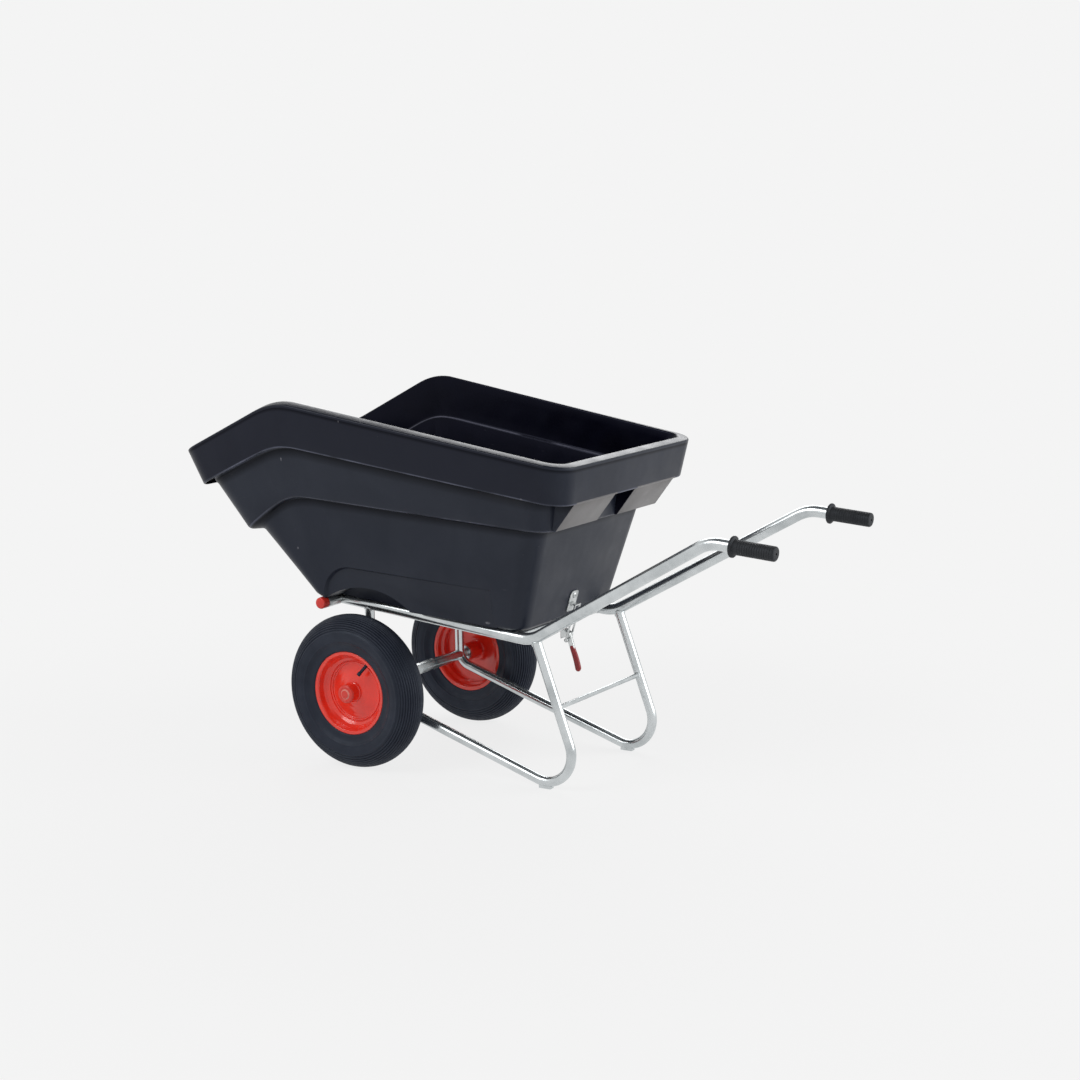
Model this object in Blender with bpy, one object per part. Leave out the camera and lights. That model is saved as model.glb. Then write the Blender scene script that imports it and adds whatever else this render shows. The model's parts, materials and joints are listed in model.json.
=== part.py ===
"""Two-wheeled tipping yard barrow: a stepped poly tub on a galvanised tube frame.

Lengths are metres. The drawing frame has X towards the handles, Y towards the cart's right side
and Z up, with x = 0 at the wheel axle and z = 0 on the ground. The empty named cart shifts it so
that the finished cart stands centred over the world origin.
"""

import math
from dataclasses import dataclass, replace

import bmesh
import bpy
from mathutils import Matrix, Vector

# Clearances
SEAT_GAP = 0.0003  # between pieces that touch
BOLT_GAP = 0.0003  # round a bolt's shank

# Frame tubes
RAIL_RADIUS = 0.015
LEG_RADIUS = 0.0125
CROSS_RADIUS = 0.0125
AXLE_TUBE_RADIUS = 0.015
BRACE_RADIUS = 0.006
TUBE_WALL = 0.002
TUBE_SIDES = 12
FRAME_HALF = 0.200

# Wheel places
WHEEL_RADIUS = 0.200
TYRE_HALF = 0.0475
TYRE_CLEAR = 0.006  # between a tyre and the leg tube beside it
TRACK_HALF = FRAME_HALF + LEG_RADIUS + TYRE_CLEAR + TYRE_HALF
WHEEL_SIDES = 28
HUB_SIDES = 16

# Side tube: rail and handle in one
PIVOT_X = -0.090
PIVOT_RISE = 0.224  # over the axle
PIVOT_Z = WHEEL_RADIUS + PIVOT_RISE
RAIL_DROP = math.radians(5.24)
RAIL_BEND_X = 0.494
HANDLE_RISE = math.radians(29.3)
HANDLE_BEND_X = 1.021
HANDLE_SPLAY = 0.059
HANDLE_HALF = FRAME_HALF + HANDLE_SPLAY
GRIP_DROP = math.radians(4.5)
GRIP_END_X = 1.192
TUBE_BEND_RADIUS = 0.100
BEND_STEPS = 4

# Leg tube: strut, runner, foot bend and leg in one
STRUT_X = 0.0
STRUT_BEND_RADIUS = 0.045
RUNNER_DROP = math.radians(17.7)
FOOT_X = 0.530
FOOT_BEND_RADIUS = 0.075
FOOT_CLEAR = 0.004  # under the foot bend, taken up by the foot pad
LEG_LEAN = math.radians(19.8)
FOOT_STEPS = 7
BRACE_UNDER = 0.216  # the brace's depth under the front pivot
BRACE_Z = PIVOT_Z - BRACE_UNDER
PAD_LENGTH = 0.034
PAD_WIDTH = 0.016
PAD_HEIGHT = 0.010

# Cross tubes and end caps
REAR_CROSS_X = 0.446
SLEEVE_LENGTH = 0.052
SLEEVE_INNER_Y = FRAME_HALF + RAIL_RADIUS + 2 * SEAT_GAP
CAP_RADIUS = 0.015
CAP_LENGTH = 0.023
CAP_WALL = 0.0035
CAP_ROUND = 0.005
CAP_PLAY = 0.0009  # between a hinge sleeve and its end cap
CROSS_REACH = SLEEVE_INNER_Y + SLEEVE_LENGTH + CAP_PLAY + CAP_LENGTH - CAP_WALL - SEAT_GAP

# Axle
SHAFT_RADIUS = 0.008
SHAFT_REACH = 0.0385  # past the wheel's centre plane
RUNNING_GAP = 0.0003  # round the shaft
SPACER_RADIUS = 0.012
WASHER_RADIUS = 0.014
WASHER_THICK = 0.002
NUT_RADIUS = 0.0135
NUT_THICK = 0.007

# Hub and bearings, measured outboard from the wheel's centre plane
HUB_RADIUS = 0.024
HUB_BORE = 0.020
HUB_INBOARD = -0.042
HUB_OUTBOARD = 0.044
BEARING_WIDTH = 0.012
OUTER_BEARING_AT = 0.016
HUB_CAP_HEAD = 0.005
HUB_CAP_PLUG = 0.0045
HUB_CAP_BOSS = 0.008
HUB_CAP_BOSS_HEIGHT = 0.0015

# Rim
RIM_FLANGE_RADIUS = 0.1087
RIM_HALF = 0.0348
RIM_SHEET = 0.0026
BEAD_SEAT_RADIUS = 0.100
BEAD_SEAT_HALF = 0.031
BEAD_SEAT_DROP = 0.0015
FLANGE_CURL = 0.0010
WELL_RADIUS = 0.0915
WELL_HALF = 0.013
DISC_AT = 0.003  # the dish's flat ring, outboard of the centre plane
DISC_STEP_RADIUS = 0.0775
DISC_RISE = 0.0165  # how far the cone comes out at the hub

# Tyre and inner tube
TYRE_HEIGHT = WHEEL_RADIUS - BEAD_SEAT_RADIUS
TYRE_WALL = 0.006
TREAD_THICK = 0.009
CROWN_DROP = 0.0018
BEAD_WIDTH = 0.0125
BEAD_FIT = 0.0005
GROOVE_DEPTH = 0.0022
GROOVE_HALF = 0.0016
GROOVE_AT = 0.015
TUBE_SKIN = 0.002
INNER_TUBE_GAP = 0.0005
INNER_TUBE_LIFT = 0.002  # over the bead seats

# Valve
VALVE_ANGLE = math.radians(58)
VALVE_ROOT_RADIUS = BEAD_SEAT_RADIUS + 0.0045
VALVE_TIP_RADIUS = 0.062
VALVE_ROOT_AT = 0.005
VALVE_TIP_AT = 0.031
VALVE_RADIUS = 0.0042
VALVE_BORE = 0.0016
VALVE_HOLE_GAP = 0.0004
VALVE_CAP_RADIUS = 0.0050
VALVE_CAP_LENGTH = 0.009
VALVE_SIDES = 10

# Grips
GRIP_LENGTH = 0.112
GRIP_RADIUS = 0.0178
GRIP_FLANGE_RADIUS = 0.0255
GRIP_FLANGE_THICK = 0.006
GRIP_END_WALL = 0.004
GRIP_VENT_RADIUS = 0.003
GRIP_ROUND = 0.004
GRIP_SIDES = 16

# Tub: wall and rim
TUB_WALL = 0.005
RIM_WIDTH = 0.028
RIM_ROUND = 0.004
GROOVE_ROOF = 0.006  # thickness of the rim's flat top
PEAK_X = -0.160
PEAK_BLEND = 0.060

# Tub: floor and the heel round its edge. An overhang is a half width beyond the rail's axis
FLOOR_FRONT_X = -0.106
FLOOR_REAR_X = 0.468
FLOOR_FRONT_OVER = 0.093
FLOOR_REAR_OVER = 0.005
FLOOR_FRONT_CORNER = 0.035
FLOOR_REAR_CORNER = 0.045
HEEL_OUT = 0.010
HEEL_RISE = 0.009

# Tub: lower step. A rise is a height over the front pivot
STEP_FRONT_X = -0.269
STEP_FRONT_RISE = 0.180
STEP_PEAK_RISE = 0.2825
STEP_REAR_X = 0.556
STEP_REAR_RISE = 0.226
STEP_FRONT_OVER = 0.108
STEP_REAR_OVER = 0.058
STEP_LEDGE_FRONT = 0.032
STEP_LEDGE_REAR = 0.034
STEP_LEDGE_FRONT_SIDE = 0.020
STEP_LEDGE_REAR_SIDE = 0.018
STEP_TILT = 0.0015
STEP_CORNER = 0.035
STEP_REAR_CORNER = 0.055

# Tub: wall behind the rim's skirt
WALL_FRONT_X = -0.391
WALL_FRONT_RISE = 0.291
WALL_PEAK_RISE = 0.411
WALL_REAR_X = 0.598
WALL_REAR_RISE = 0.303
WALL_FRONT_OVER = 0.143
WALL_REAR_OVER = 0.096
WALL_LEDGE = 0.005
WALL_LEDGE_RISE = 0.004

# Tub: lower edge of the rim's skirt
SKIRT_FRONT_X = -0.426
SKIRT_FRONT_RISE = 0.291
SKIRT_PEAK_RISE = 0.4145
SKIRT_REAR_X = 0.656
SKIRT_REAR_RISE = 0.301
SKIRT_FRONT_OVER = 0.161
SKIRT_REAR_OVER = 0.114
SKIRT_CORNER = 0.045
SKIRT_REAR_CORNER = 0.066

# Tub: rim's top edge
RIM_FRONT_X = -0.469
RIM_FRONT_RISE = 0.3865
RIM_PEAK_RISE = 0.5325
RIM_REAR_X = 0.674
RIM_REAR_RISE = 0.404
RIM_FRONT_OVER = 0.172
RIM_REAR_OVER = 0.130
RIM_CORNER = 0.050
RIM_REAR_CORNER = 0.068

# Tub: hinge brackets
SLEEVE_RADIUS = 0.0150
FLAG_THICK = 0.004
FLAG_REACH = 0.052
FLAG_MARGIN = 0.006
HINGE_BOLTS_AT = (0.014, 0.038)

# Tub: wheel pockets and side panels
POCKET_X = 0.032
POCKET_Z = WHEEL_RADIUS + 0.080
POCKET_START = 0.003  # from the front pivot back to the pocket, along the floor
POCKET_GAP = 0.002  # between a pocket's wall and the tyre's inner side, in plan
POCKET_WALL_Y = TRACK_HALF - TYRE_HALF - POCKET_GAP
POCKET_STEPS = 12
PANEL_DEPTH = 0.010
PANEL_FRONT_X = -0.074
PANEL_REAR_X = 0.405
PANEL_FADE_X = 0.100
PANEL_FRONT_RISE = 0.100
PANEL_REAR_RISE = 0.073
PANEL_CORNER = 0.075

# Tub: lugs under the rear rim
LUG_INNER_Y = 0.047
LUG_OUTER_Y = 0.242
LUG_BITE = 0.0046
LUG_FOOT = 0.002

# Bolts
BOLT_RADIUS = 0.004
BOLT_HEAD_RADIUS = 0.0085
BOLT_HEAD_HEIGHT = 0.004
BOLT_NUT_RADIUS = 0.0075
BOLT_NUT_HEIGHT = 0.0065
BOLT_SIDES = 12

# Latch
KEEPER_HALF = 0.018
KEEPER_THICK = 0.003
KEEPER_LOW = 0.012
KEEPER_HIGH = 0.068
KEEPER_BOLT_AT = 0.056
LIP_AT = 0.030
LIP_THICK = 0.003
LIP_REACH = 0.0082
LIP_HALF = 0.012
NOSE_BITE = 0.0035
NOSE_HEIGHT = 0.004
HOOK_LIP_GAP = 0.0007
HOOK_THICK = 0.004
HOOK_ARM_WIDTH = 0.003
HOOK_NOSE_GAP = 0.0005
CRANK = 0.014
CLOSED_TURN = math.radians(8)
REST_TURN = math.radians(10)
LATCH_PIN_UNDER = 0.079  # the latch pivot's depth under the front pivot
LATCH_PIN_RADIUS = 0.003
LINK_PIN_RADIUS = 0.0025
PIN_GAP = 0.0003
LATCH_BOSS_RADIUS = 0.0075
LINK_BOSS_RADIUS = 0.0060
EYE_RADIUS = 0.0055
LEVER_HALF = 0.003
BOSS_HALF = 0.006
EAR_THICK = 0.003
BASE_THICK = 0.003
BASE_HEIGHT = 0.046
BASE_FOOT_UNDER = 0.011
EAR_HEIGHT = 0.026
LEVER_ANGLE = math.radians(-73)
LEVER_LENGTH = 0.090
LEVER_WIDTH = 0.010
GRIP_START = 0.036
LEVER_GRIP_WIDTH = 0.017
LEVER_GRIP_HALF = 0.0070
LEVER_GRIP_END = 0.005
PIN_SIDES = 12
ARC_STEPS = 6

# Colours
GALVANISED = ("galvanised_steel", (0.56, 0.60, 0.61), 0.38, 0.9)
ZINC = ("zinc_steel", (0.58, 0.58, 0.60), 0.35, 0.9)
TUB_BLACK = ("black_polyethylene", (0.030, 0.033, 0.045), 0.48, 0.0)
TYRE_BLACK = ("tyre_rubber", (0.022, 0.024, 0.030), 0.75, 0.0)
TUBE_BLACK = ("inner_tube_rubber", (0.015, 0.015, 0.016), 0.70, 0.0)
GRIP_BLACK = ("grip_rubber", (0.020, 0.020, 0.022), 0.70, 0.0)
RIM_RED = ("red_enamel", (0.60, 0.022, 0.015), 0.28, 0.0)
CAP_RED = ("red_plastic", (0.50, 0.025, 0.018), 0.42, 0.0)
LEVER_RED = ("dark_red_plastic", (0.26, 0.022, 0.028), 0.45, 0.0)
BEARING_STEEL = ("bearing_steel", (0.50, 0.50, 0.52), 0.25, 1.0)


@dataclass(frozen=True)
class Level:
    """One line round the tub: rounded outline in plan, with a height that peaks near the front."""

    front_x: float
    front_z: float
    peak_z: float
    rear_x: float
    rear_z: float
    front_half: float
    rear_half: float
    front_corner: float
    rear_corner: float
    peak_x: float = PEAK_X
    blend: float = PEAK_BLEND

    def half(self, x):
        """Half width at x: full width ahead of the peak, then a straight taper to the rear."""
        share = max(0.0, (x - PEAK_X) / (self.rear_x - PEAK_X))
        return self.front_half + (self.rear_half - self.front_half) * share

    def height(self, x):
        """Height at x: two straight runs joined by a parabola over the peak."""
        front_slope = (self.peak_z - self.front_z) / (self.peak_x - self.front_x)
        rear_slope = (self.rear_z - self.peak_z) / (self.rear_x - self.peak_x)
        into = x - (self.peak_x - self.blend)
        if into <= 0.0:
            return self.front_z + front_slope * (x - self.front_x)
        if into >= 2 * self.blend:
            return self.peak_z + rear_slope * (x - self.peak_x)
        start = self.peak_z - front_slope * self.blend
        return start + front_slope * into + (rear_slope - front_slope) * into**2 / (4 * self.blend)

    def inside(self, inset, rise):
        """The same line moved into the tub by inset, and up by rise."""
        return replace(
            self,
            front_x=self.front_x + inset,
            rear_x=self.rear_x - inset,
            front_z=self.front_z + rise,
            peak_z=self.peak_z + rise,
            rear_z=self.rear_z + rise,
            front_half=self.front_half - inset,
            rear_half=self.rear_half - inset,
            front_corner=max(0.006, self.front_corner - inset),
            rear_corner=max(0.006, self.rear_corner - inset),
        )


def rail_height(x):
    """Height of the rail's axis."""
    return PIVOT_Z - math.tan(RAIL_DROP) * (x - PIVOT_X)


def floor_height(x):
    """Height of the tub's underside, which rests on both rails."""
    return rail_height(x) + (RAIL_RADIUS + SEAT_GAP) / math.cos(RAIL_DROP)


def floor_level(out, rise, inset=0.0):
    """A line parallel to the tub's floor: out from the floor's edge, up by rise, then inset."""
    front = FLOOR_FRONT_X - out + inset
    rear = FLOOR_REAR_X + out - inset
    peak = front + PEAK_BLEND
    return Level(
        front_x=front,
        front_z=floor_height(front) + rise,
        peak_z=floor_height(peak) + rise,
        rear_x=rear,
        rear_z=floor_height(rear) + rise,
        front_half=FRAME_HALF + FLOOR_FRONT_OVER + out - inset,
        rear_half=FRAME_HALF + FLOOR_REAR_OVER + out - inset,
        front_corner=FLOOR_FRONT_CORNER - inset,
        rear_corner=FLOOR_REAR_CORNER - inset,
        peak_x=peak,
        blend=PEAK_BLEND / 3,
    )


# The tub's outer lines, from the floor to the rim
FLOOR_EDGE = floor_level(0.0, 0.0)
FLOOR_SIDE = floor_level(HEEL_OUT, HEEL_RISE)
LOW_STEP_IN = Level(
    STEP_FRONT_X,
    PIVOT_Z + STEP_FRONT_RISE,
    PIVOT_Z + STEP_PEAK_RISE,
    STEP_REAR_X,
    PIVOT_Z + STEP_REAR_RISE,
    FRAME_HALF + STEP_FRONT_OVER,
    FRAME_HALF + STEP_REAR_OVER,
    STEP_CORNER,
    STEP_REAR_CORNER,
)
LOW_STEP_OUT = Level(
    STEP_FRONT_X - STEP_LEDGE_FRONT,
    PIVOT_Z + STEP_FRONT_RISE - STEP_TILT,
    PIVOT_Z + STEP_PEAK_RISE - STEP_TILT,
    STEP_REAR_X + STEP_LEDGE_REAR,
    PIVOT_Z + STEP_REAR_RISE + 2 * STEP_TILT,
    FRAME_HALF + STEP_FRONT_OVER + STEP_LEDGE_FRONT_SIDE,
    FRAME_HALF + STEP_REAR_OVER + STEP_LEDGE_REAR_SIDE,
    STEP_CORNER,
    STEP_REAR_CORNER,
)
SKIRT_WALL = Level(
    WALL_FRONT_X,
    PIVOT_Z + WALL_FRONT_RISE,
    PIVOT_Z + WALL_PEAK_RISE,
    WALL_REAR_X,
    PIVOT_Z + WALL_REAR_RISE,
    FRAME_HALF + WALL_FRONT_OVER,
    FRAME_HALF + WALL_REAR_OVER,
    SKIRT_CORNER,
    SKIRT_REAR_CORNER,
)
SKIRT_EDGE = Level(
    SKIRT_FRONT_X,
    PIVOT_Z + SKIRT_FRONT_RISE,
    PIVOT_Z + SKIRT_PEAK_RISE,
    SKIRT_REAR_X,
    PIVOT_Z + SKIRT_REAR_RISE,
    FRAME_HALF + SKIRT_FRONT_OVER,
    FRAME_HALF + SKIRT_REAR_OVER,
    SKIRT_CORNER,
    SKIRT_REAR_CORNER,
)
RIM_TOP = Level(
    RIM_FRONT_X,
    PIVOT_Z + RIM_FRONT_RISE,
    PIVOT_Z + RIM_PEAK_RISE,
    RIM_REAR_X,
    PIVOT_Z + RIM_REAR_RISE,
    FRAME_HALF + RIM_FRONT_OVER,
    FRAME_HALF + RIM_REAR_OVER,
    RIM_CORNER,
    RIM_REAR_CORNER,
)

MATERIALS = {}
BODIES = {}


def clear_scene():
    """Remove what the startup scene holds."""
    for item in list(bpy.data.objects):
        bpy.data.objects.remove(item, do_unlink=True)


def material(spec):
    """The Principled material for one finish, made once."""
    name, colour, roughness, metallic = spec
    if name not in MATERIALS:
        made = bpy.data.materials.new(name)
        made.use_nodes = True
        shader = made.node_tree.nodes["Principled BSDF"]
        shader.inputs["Base Color"].default_value = (*colour, 1.0)
        shader.inputs["Roughness"].default_value = roughness
        shader.inputs["Metallic"].default_value = metallic
        made.diffuse_color = (*colour, 1.0)
        MATERIALS[name] = made
    return MATERIALS[name]


def add_body(name, place, parent=None):
    """An empty on a joint's axis, which carries the pieces that move with it."""
    empty = bpy.data.objects.new(f"{name}_body", None)
    empty.empty_display_size = 0.05
    bpy.context.collection.objects.link(empty)
    origin = Vector(place)
    if parent:
        empty.parent = BODIES[parent][0]
        empty.location = origin - BODIES[parent][1]
    else:
        grip_tip = GRIP_END_X + (GRIP_RADIUS - GRIP_ROUND) * math.sin(GRIP_DROP)
        empty.location = Vector(((-RIM_TOP.front_x - grip_tip) / 2, 0, 0)) + origin
    BODIES[name] = (empty, origin)


def add_piece(name, mesh, finish, body, smooth=True):
    """Turn a mesh in the drawing frame into a named piece carried by a body."""
    bmesh.ops.recalc_face_normals(mesh, faces=mesh.faces)
    data = bpy.data.meshes.new(name)
    mesh.to_mesh(data)
    mesh.free()
    empty, origin = BODIES[body]
    data.transform(Matrix.Translation(-origin))
    if smooth:
        data.shade_smooth()
        data.set_sharp_from_angle(angle=math.radians(35))
    if finish:
        data.materials.append(material(finish))
    piece = bpy.data.objects.new(name, data)
    piece.parent = empty
    bpy.context.collection.objects.link(piece)
    return piece


def add_cutter(name, mesh, body):
    """A helper solid for a Boolean, left out of the cart."""
    helper = add_piece(name, mesh, None, body, smooth=False)
    helper.hide_render = True
    helper.display_type = "WIRE"
    return helper


def boolean(piece, helper, operation):
    """Cut a helper from a piece, or join it on."""
    step = piece.modifiers.new(helper.name, "BOOLEAN")
    step.object = helper
    step.operation = operation
    step.solver = "EXACT"


def fillet_path(corners, radii, steps):
    """Points through the corners, with an arc of the given radius at each inner corner."""
    points = [Vector(corners[0])]
    for i, radius in enumerate(radii, start=1):
        corner = Vector(corners[i])
        before = (corner - Vector(corners[i - 1])).normalized()
        after = (Vector(corners[i + 1]) - corner).normalized()
        turn = before.angle(after)
        centre = corner + (after - before).normalized() * radius / math.cos(turn / 2)
        start = corner - before * radius * math.tan(turn / 2) - centre
        axis = before.cross(after).normalized()
        for k in range(steps[i - 1] + 1):
            points.append(centre + Matrix.Rotation(turn * k / steps[i - 1], 3, axis) @ start)
    points.append(Vector(corners[-1]))
    return points


def ring_frames(path):
    """The centre and two cross axes of each section along a path, turned as little as possible."""
    frames = []
    side = Vector((0, 1, 0))
    for i, point in enumerate(path):
        ahead = path[min(i + 1, len(path) - 1)]
        behind = path[max(i - 1, 0)]
        along = (ahead - behind).normalized()
        if abs(along.dot(side)) > 0.9:
            side = Vector((1, 0, 0))
        side = (side - along * side.dot(along)).normalized()
        frames.append((point, side, along.cross(side)))
    return frames


def add_ring(mesh, centre, side, up, radius, sides):
    """One ring of vertices."""
    ring = []
    for k in range(sides):
        turn = 2 * math.pi * k / sides
        ring.append(mesh.verts.new(centre + side * radius * math.cos(turn) + up * radius * math.sin(turn)))
    return ring


def join_rings(mesh, first, second):
    """A band of quads between two rings of the same count."""
    count = len(first)
    for k in range(count):
        after = (k + 1) % count
        mesh.faces.new((first[k], first[after], second[after], second[k]))


def sweep(path, radius, wall=0.0, sides=TUBE_SIDES):
    """A round bar along a path, or a tube where a wall is given."""
    mesh = bmesh.new()
    outer = [add_ring(mesh, *frame, radius, sides) for frame in ring_frames(path)]
    for first, second in zip(outer, outer[1:]):
        join_rings(mesh, first, second)
    if wall:
        inner = [add_ring(mesh, *frame, radius - wall, sides) for frame in ring_frames(path)]
        for first, second in zip(inner, inner[1:]):
            join_rings(mesh, second, first)
        join_rings(mesh, inner[0], outer[0])
        join_rings(mesh, outer[-1], inner[-1])
    else:
        mesh.faces.new(outer[0])
        mesh.faces.new(outer[-1])
    return mesh


def lathe(profile, sides, place=None):
    """Turn a profile of (along, radius) points round local Z. It closes on itself or on the axis."""
    mesh = bmesh.new()
    rings = []
    for along, radius in profile:
        if radius == 0.0:
            rings.append([mesh.verts.new((0, 0, along))])
        else:
            rings.append(
                add_ring(mesh, Vector((0, 0, along)), Vector((1, 0, 0)), Vector((0, 1, 0)), radius, sides)
            )
    closed = len(rings[0]) > 1
    pairs = list(zip(rings, rings[1:])) + ([(rings[-1], rings[0])] if closed else [])
    for first, second in pairs:
        if len(first) == 1 or len(second) == 1:
            tip = (first if len(first) == 1 else second)[0]
            ring = second if len(first) == 1 else first
            for k in range(sides):
                mesh.faces.new((tip, ring[k], ring[(k + 1) % sides]))
        else:
            join_rings(mesh, first, second)
    if place:
        bmesh.ops.transform(mesh, matrix=place, verts=mesh.verts)
    return mesh


def pointing(origin, direction):
    """A placement that puts local Z along a direction, with local X level where it can be."""
    along = Vector(direction).normalized()
    return Matrix.Translation(Vector(origin)) @ along.to_track_quat("Z", "Y").to_matrix().to_4x4()


def wheel_place(side, along=0.0):
    """Local Z outboard along the axle, from the centre plane of one wheel."""
    turn = Matrix.Rotation(-side * math.pi / 2, 4, "X")
    return Matrix.Translation((0, side * (TRACK_HALF + along), WHEEL_RADIUS)) @ turn


def prism(outline, low_y, high_y):
    """A solid between two planes across the cart, from an outline of (x, z) points."""
    mesh = bmesh.new()
    low = [mesh.verts.new((x, low_y, z)) for x, z in outline]
    high = [mesh.verts.new((x, high_y, z)) for x, z in outline]
    join_rings(mesh, low, high)
    mesh.faces.new(low)
    mesh.faces.new(high)
    return mesh


def merge(*meshes):
    """Several solids in one mesh, for use as one Boolean helper."""
    whole = bmesh.new()
    for mesh in meshes:
        data = bpy.data.meshes.new("scratch")
        mesh.to_mesh(data)
        mesh.free()
        whole.from_mesh(data)
        bpy.data.meshes.remove(data)
    return whole


def arc(centre, radius, start, end, steps):
    """Points of an arc in the side view, from one angle to another."""
    return [
        (
            centre[0] + radius * math.cos(start + (end - start) * k / steps),
            centre[1] + radius * math.sin(start + (end - start) * k / steps),
        )
        for k in range(steps + 1)
    ]


def side_path(side):
    """The axis of a side tube, from the front pivot to the end of the handle."""
    bend_z = rail_height(RAIL_BEND_X)
    grip_bend_z = bend_z + math.tan(HANDLE_RISE) * (HANDLE_BEND_X - RAIL_BEND_X)
    end_x = GRIP_END_X - GRIP_END_WALL - SEAT_GAP
    corners = [
        (PIVOT_X, side * FRAME_HALF, PIVOT_Z),
        (RAIL_BEND_X, side * FRAME_HALF, bend_z),
        (HANDLE_BEND_X, side * HANDLE_HALF, grip_bend_z),
        (end_x, side * HANDLE_HALF, grip_bend_z - math.tan(GRIP_DROP) * (end_x - HANDLE_BEND_X)),
    ]
    return fillet_path(corners, [TUBE_BEND_RADIUS] * 2, [BEND_STEPS] * 2)


def cross(point, direction, other_point, other_direction):
    """Where two lines of the side view meet."""
    det = direction[0] * -other_direction[1] + direction[1] * other_direction[0]
    dx = other_point[0] - point[0]
    dz = other_point[1] - point[1]
    share = (dx * -other_direction[1] + dz * other_direction[0]) / det
    return point[0] + direction[0] * share, point[1] + direction[1] * share


def leg_corners():
    """Corners of the leg tube's axis in the side view: strut top, strut foot, foot, leg top."""
    low = FOOT_CLEAR + LEG_RADIUS
    centre = (FOOT_X, low + FOOT_BEND_RADIUS)
    runner_way = (math.cos(RUNNER_DROP), -math.sin(RUNNER_DROP))
    leg_way = (-math.sin(LEG_LEAN), math.cos(LEG_LEAN))
    runner_at = (centre[0] + FOOT_BEND_RADIUS * runner_way[1], centre[1] - FOOT_BEND_RADIUS * runner_way[0])
    leg_at = (centre[0] + FOOT_BEND_RADIUS * leg_way[1], centre[1] - FOOT_BEND_RADIUS * leg_way[0])
    handle_at = (RAIL_BEND_X, rail_height(RAIL_BEND_X))
    handle_way = (math.cos(HANDLE_RISE), math.sin(HANDLE_RISE))
    return [
        (STRUT_X, rail_height(STRUT_X)),
        cross((STRUT_X, 0), (0, 1), runner_at, runner_way),
        cross(runner_at, runner_way, leg_at, leg_way),
        cross(leg_at, leg_way, handle_at, handle_way),
    ]


def leg_path(side):
    """The axis of a leg tube, from the rail down its strut and back up to the rail bend."""
    corners = [(x, side * FRAME_HALF, z) for x, z in leg_corners()]
    return fillet_path(corners, [STRUT_BEND_RADIUS, FOOT_BEND_RADIUS], [BEND_STEPS, FOOT_STEPS])


def leg_x(z):
    """Where the rear leg's axis stands at a height."""
    corners = leg_corners()
    top = corners[3]
    return top[0] + math.tan(LEG_LEAN) * (top[1] - z)


def across(x, z, half):
    """A straight path across the cart."""
    return [Vector((x, -half, z)), Vector((x, half, z))]


def build_side_tubes(names):
    """Rail and handle tubes, coped round the front cross tube."""
    pivot = add_cutter(
        "pivot_cope", sweep(across(PIVOT_X, PIVOT_Z, CROSS_REACH), CROSS_RADIUS + SEAT_GAP), "frame"
    )
    copes = {}
    for name, side in names:
        piece = add_piece(
            f"side_tube_{name}", sweep(side_path(side), RAIL_RADIUS, TUBE_WALL), GALVANISED, "frame"
        )
        boolean(piece, pivot, "DIFFERENCE")
        copes[name] = add_cutter(
            f"side_tube_cope_{name}", sweep(side_path(side), RAIL_RADIUS + SEAT_GAP), "frame"
        )
    return copes


def build_leg_tubes(names, side_copes):
    """Leg tubes, coped to the side tubes at both ends and drilled for the axle shaft."""
    shaft = add_cutter(
        "shaft_hole", sweep(across(0, WHEEL_RADIUS, TRACK_HALF), SHAFT_RADIUS + RUNNING_GAP), "frame"
    )
    copes = {}
    for name, side in names:
        piece = add_piece(
            f"leg_tube_{name}", sweep(leg_path(side), LEG_RADIUS, TUBE_WALL), GALVANISED, "frame"
        )
        boolean(piece, side_copes[name], "DIFFERENCE")
        boolean(piece, shaft, "DIFFERENCE")
        copes[name] = add_cutter(
            f"leg_tube_cope_{name}", sweep(leg_path(side), LEG_RADIUS + SEAT_GAP), "frame"
        )
    return copes


def build_cross_members(side_copes, leg_copes):
    """The tubes and the rod that run across the frame, coped where they meet the side frames."""
    add_piece(
        "front_cross_tube",
        sweep(across(PIVOT_X, PIVOT_Z, CROSS_REACH), CROSS_RADIUS, TUBE_WALL),
        GALVANISED,
        "frame",
    )
    rear = add_piece(
        "rear_cross_tube",
        sweep(across(REAR_CROSS_X, rail_height(REAR_CROSS_X), FRAME_HALF), CROSS_RADIUS, TUBE_WALL),
        GALVANISED,
        "frame",
    )
    axle = add_piece(
        "axle_tube",
        sweep(across(0, WHEEL_RADIUS, FRAME_HALF), AXLE_TUBE_RADIUS, TUBE_WALL),
        GALVANISED,
        "frame",
    )
    brace = add_piece(
        "leg_brace", sweep(across(leg_x(BRACE_Z), BRACE_Z, FRAME_HALF), BRACE_RADIUS), GALVANISED, "frame"
    )
    for cope in side_copes.values():
        boolean(rear, cope, "DIFFERENCE")
    for cope in leg_copes.values():
        boolean(axle, cope, "DIFFERENCE")
        boolean(brace, cope, "DIFFERENCE")


def build_foot_pads(names, leg_copes):
    """Wear pads welded under the foot bends, flat on the ground."""
    for name, side in names:
        middle = side * FRAME_HALF
        ends = (FOOT_X - PAD_LENGTH / 2, FOOT_X + PAD_LENGTH / 2)
        outline = [(ends[0], 0), (ends[1], 0), (ends[1], PAD_HEIGHT), (ends[0], PAD_HEIGHT)]
        pad = add_piece(
            f"foot_pad_{name}",
            prism(outline, middle - PAD_WIDTH / 2, middle + PAD_WIDTH / 2),
            GALVANISED,
            "frame",
            smooth=False,
        )
        boolean(pad, leg_copes[name], "DIFFERENCE")


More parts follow.
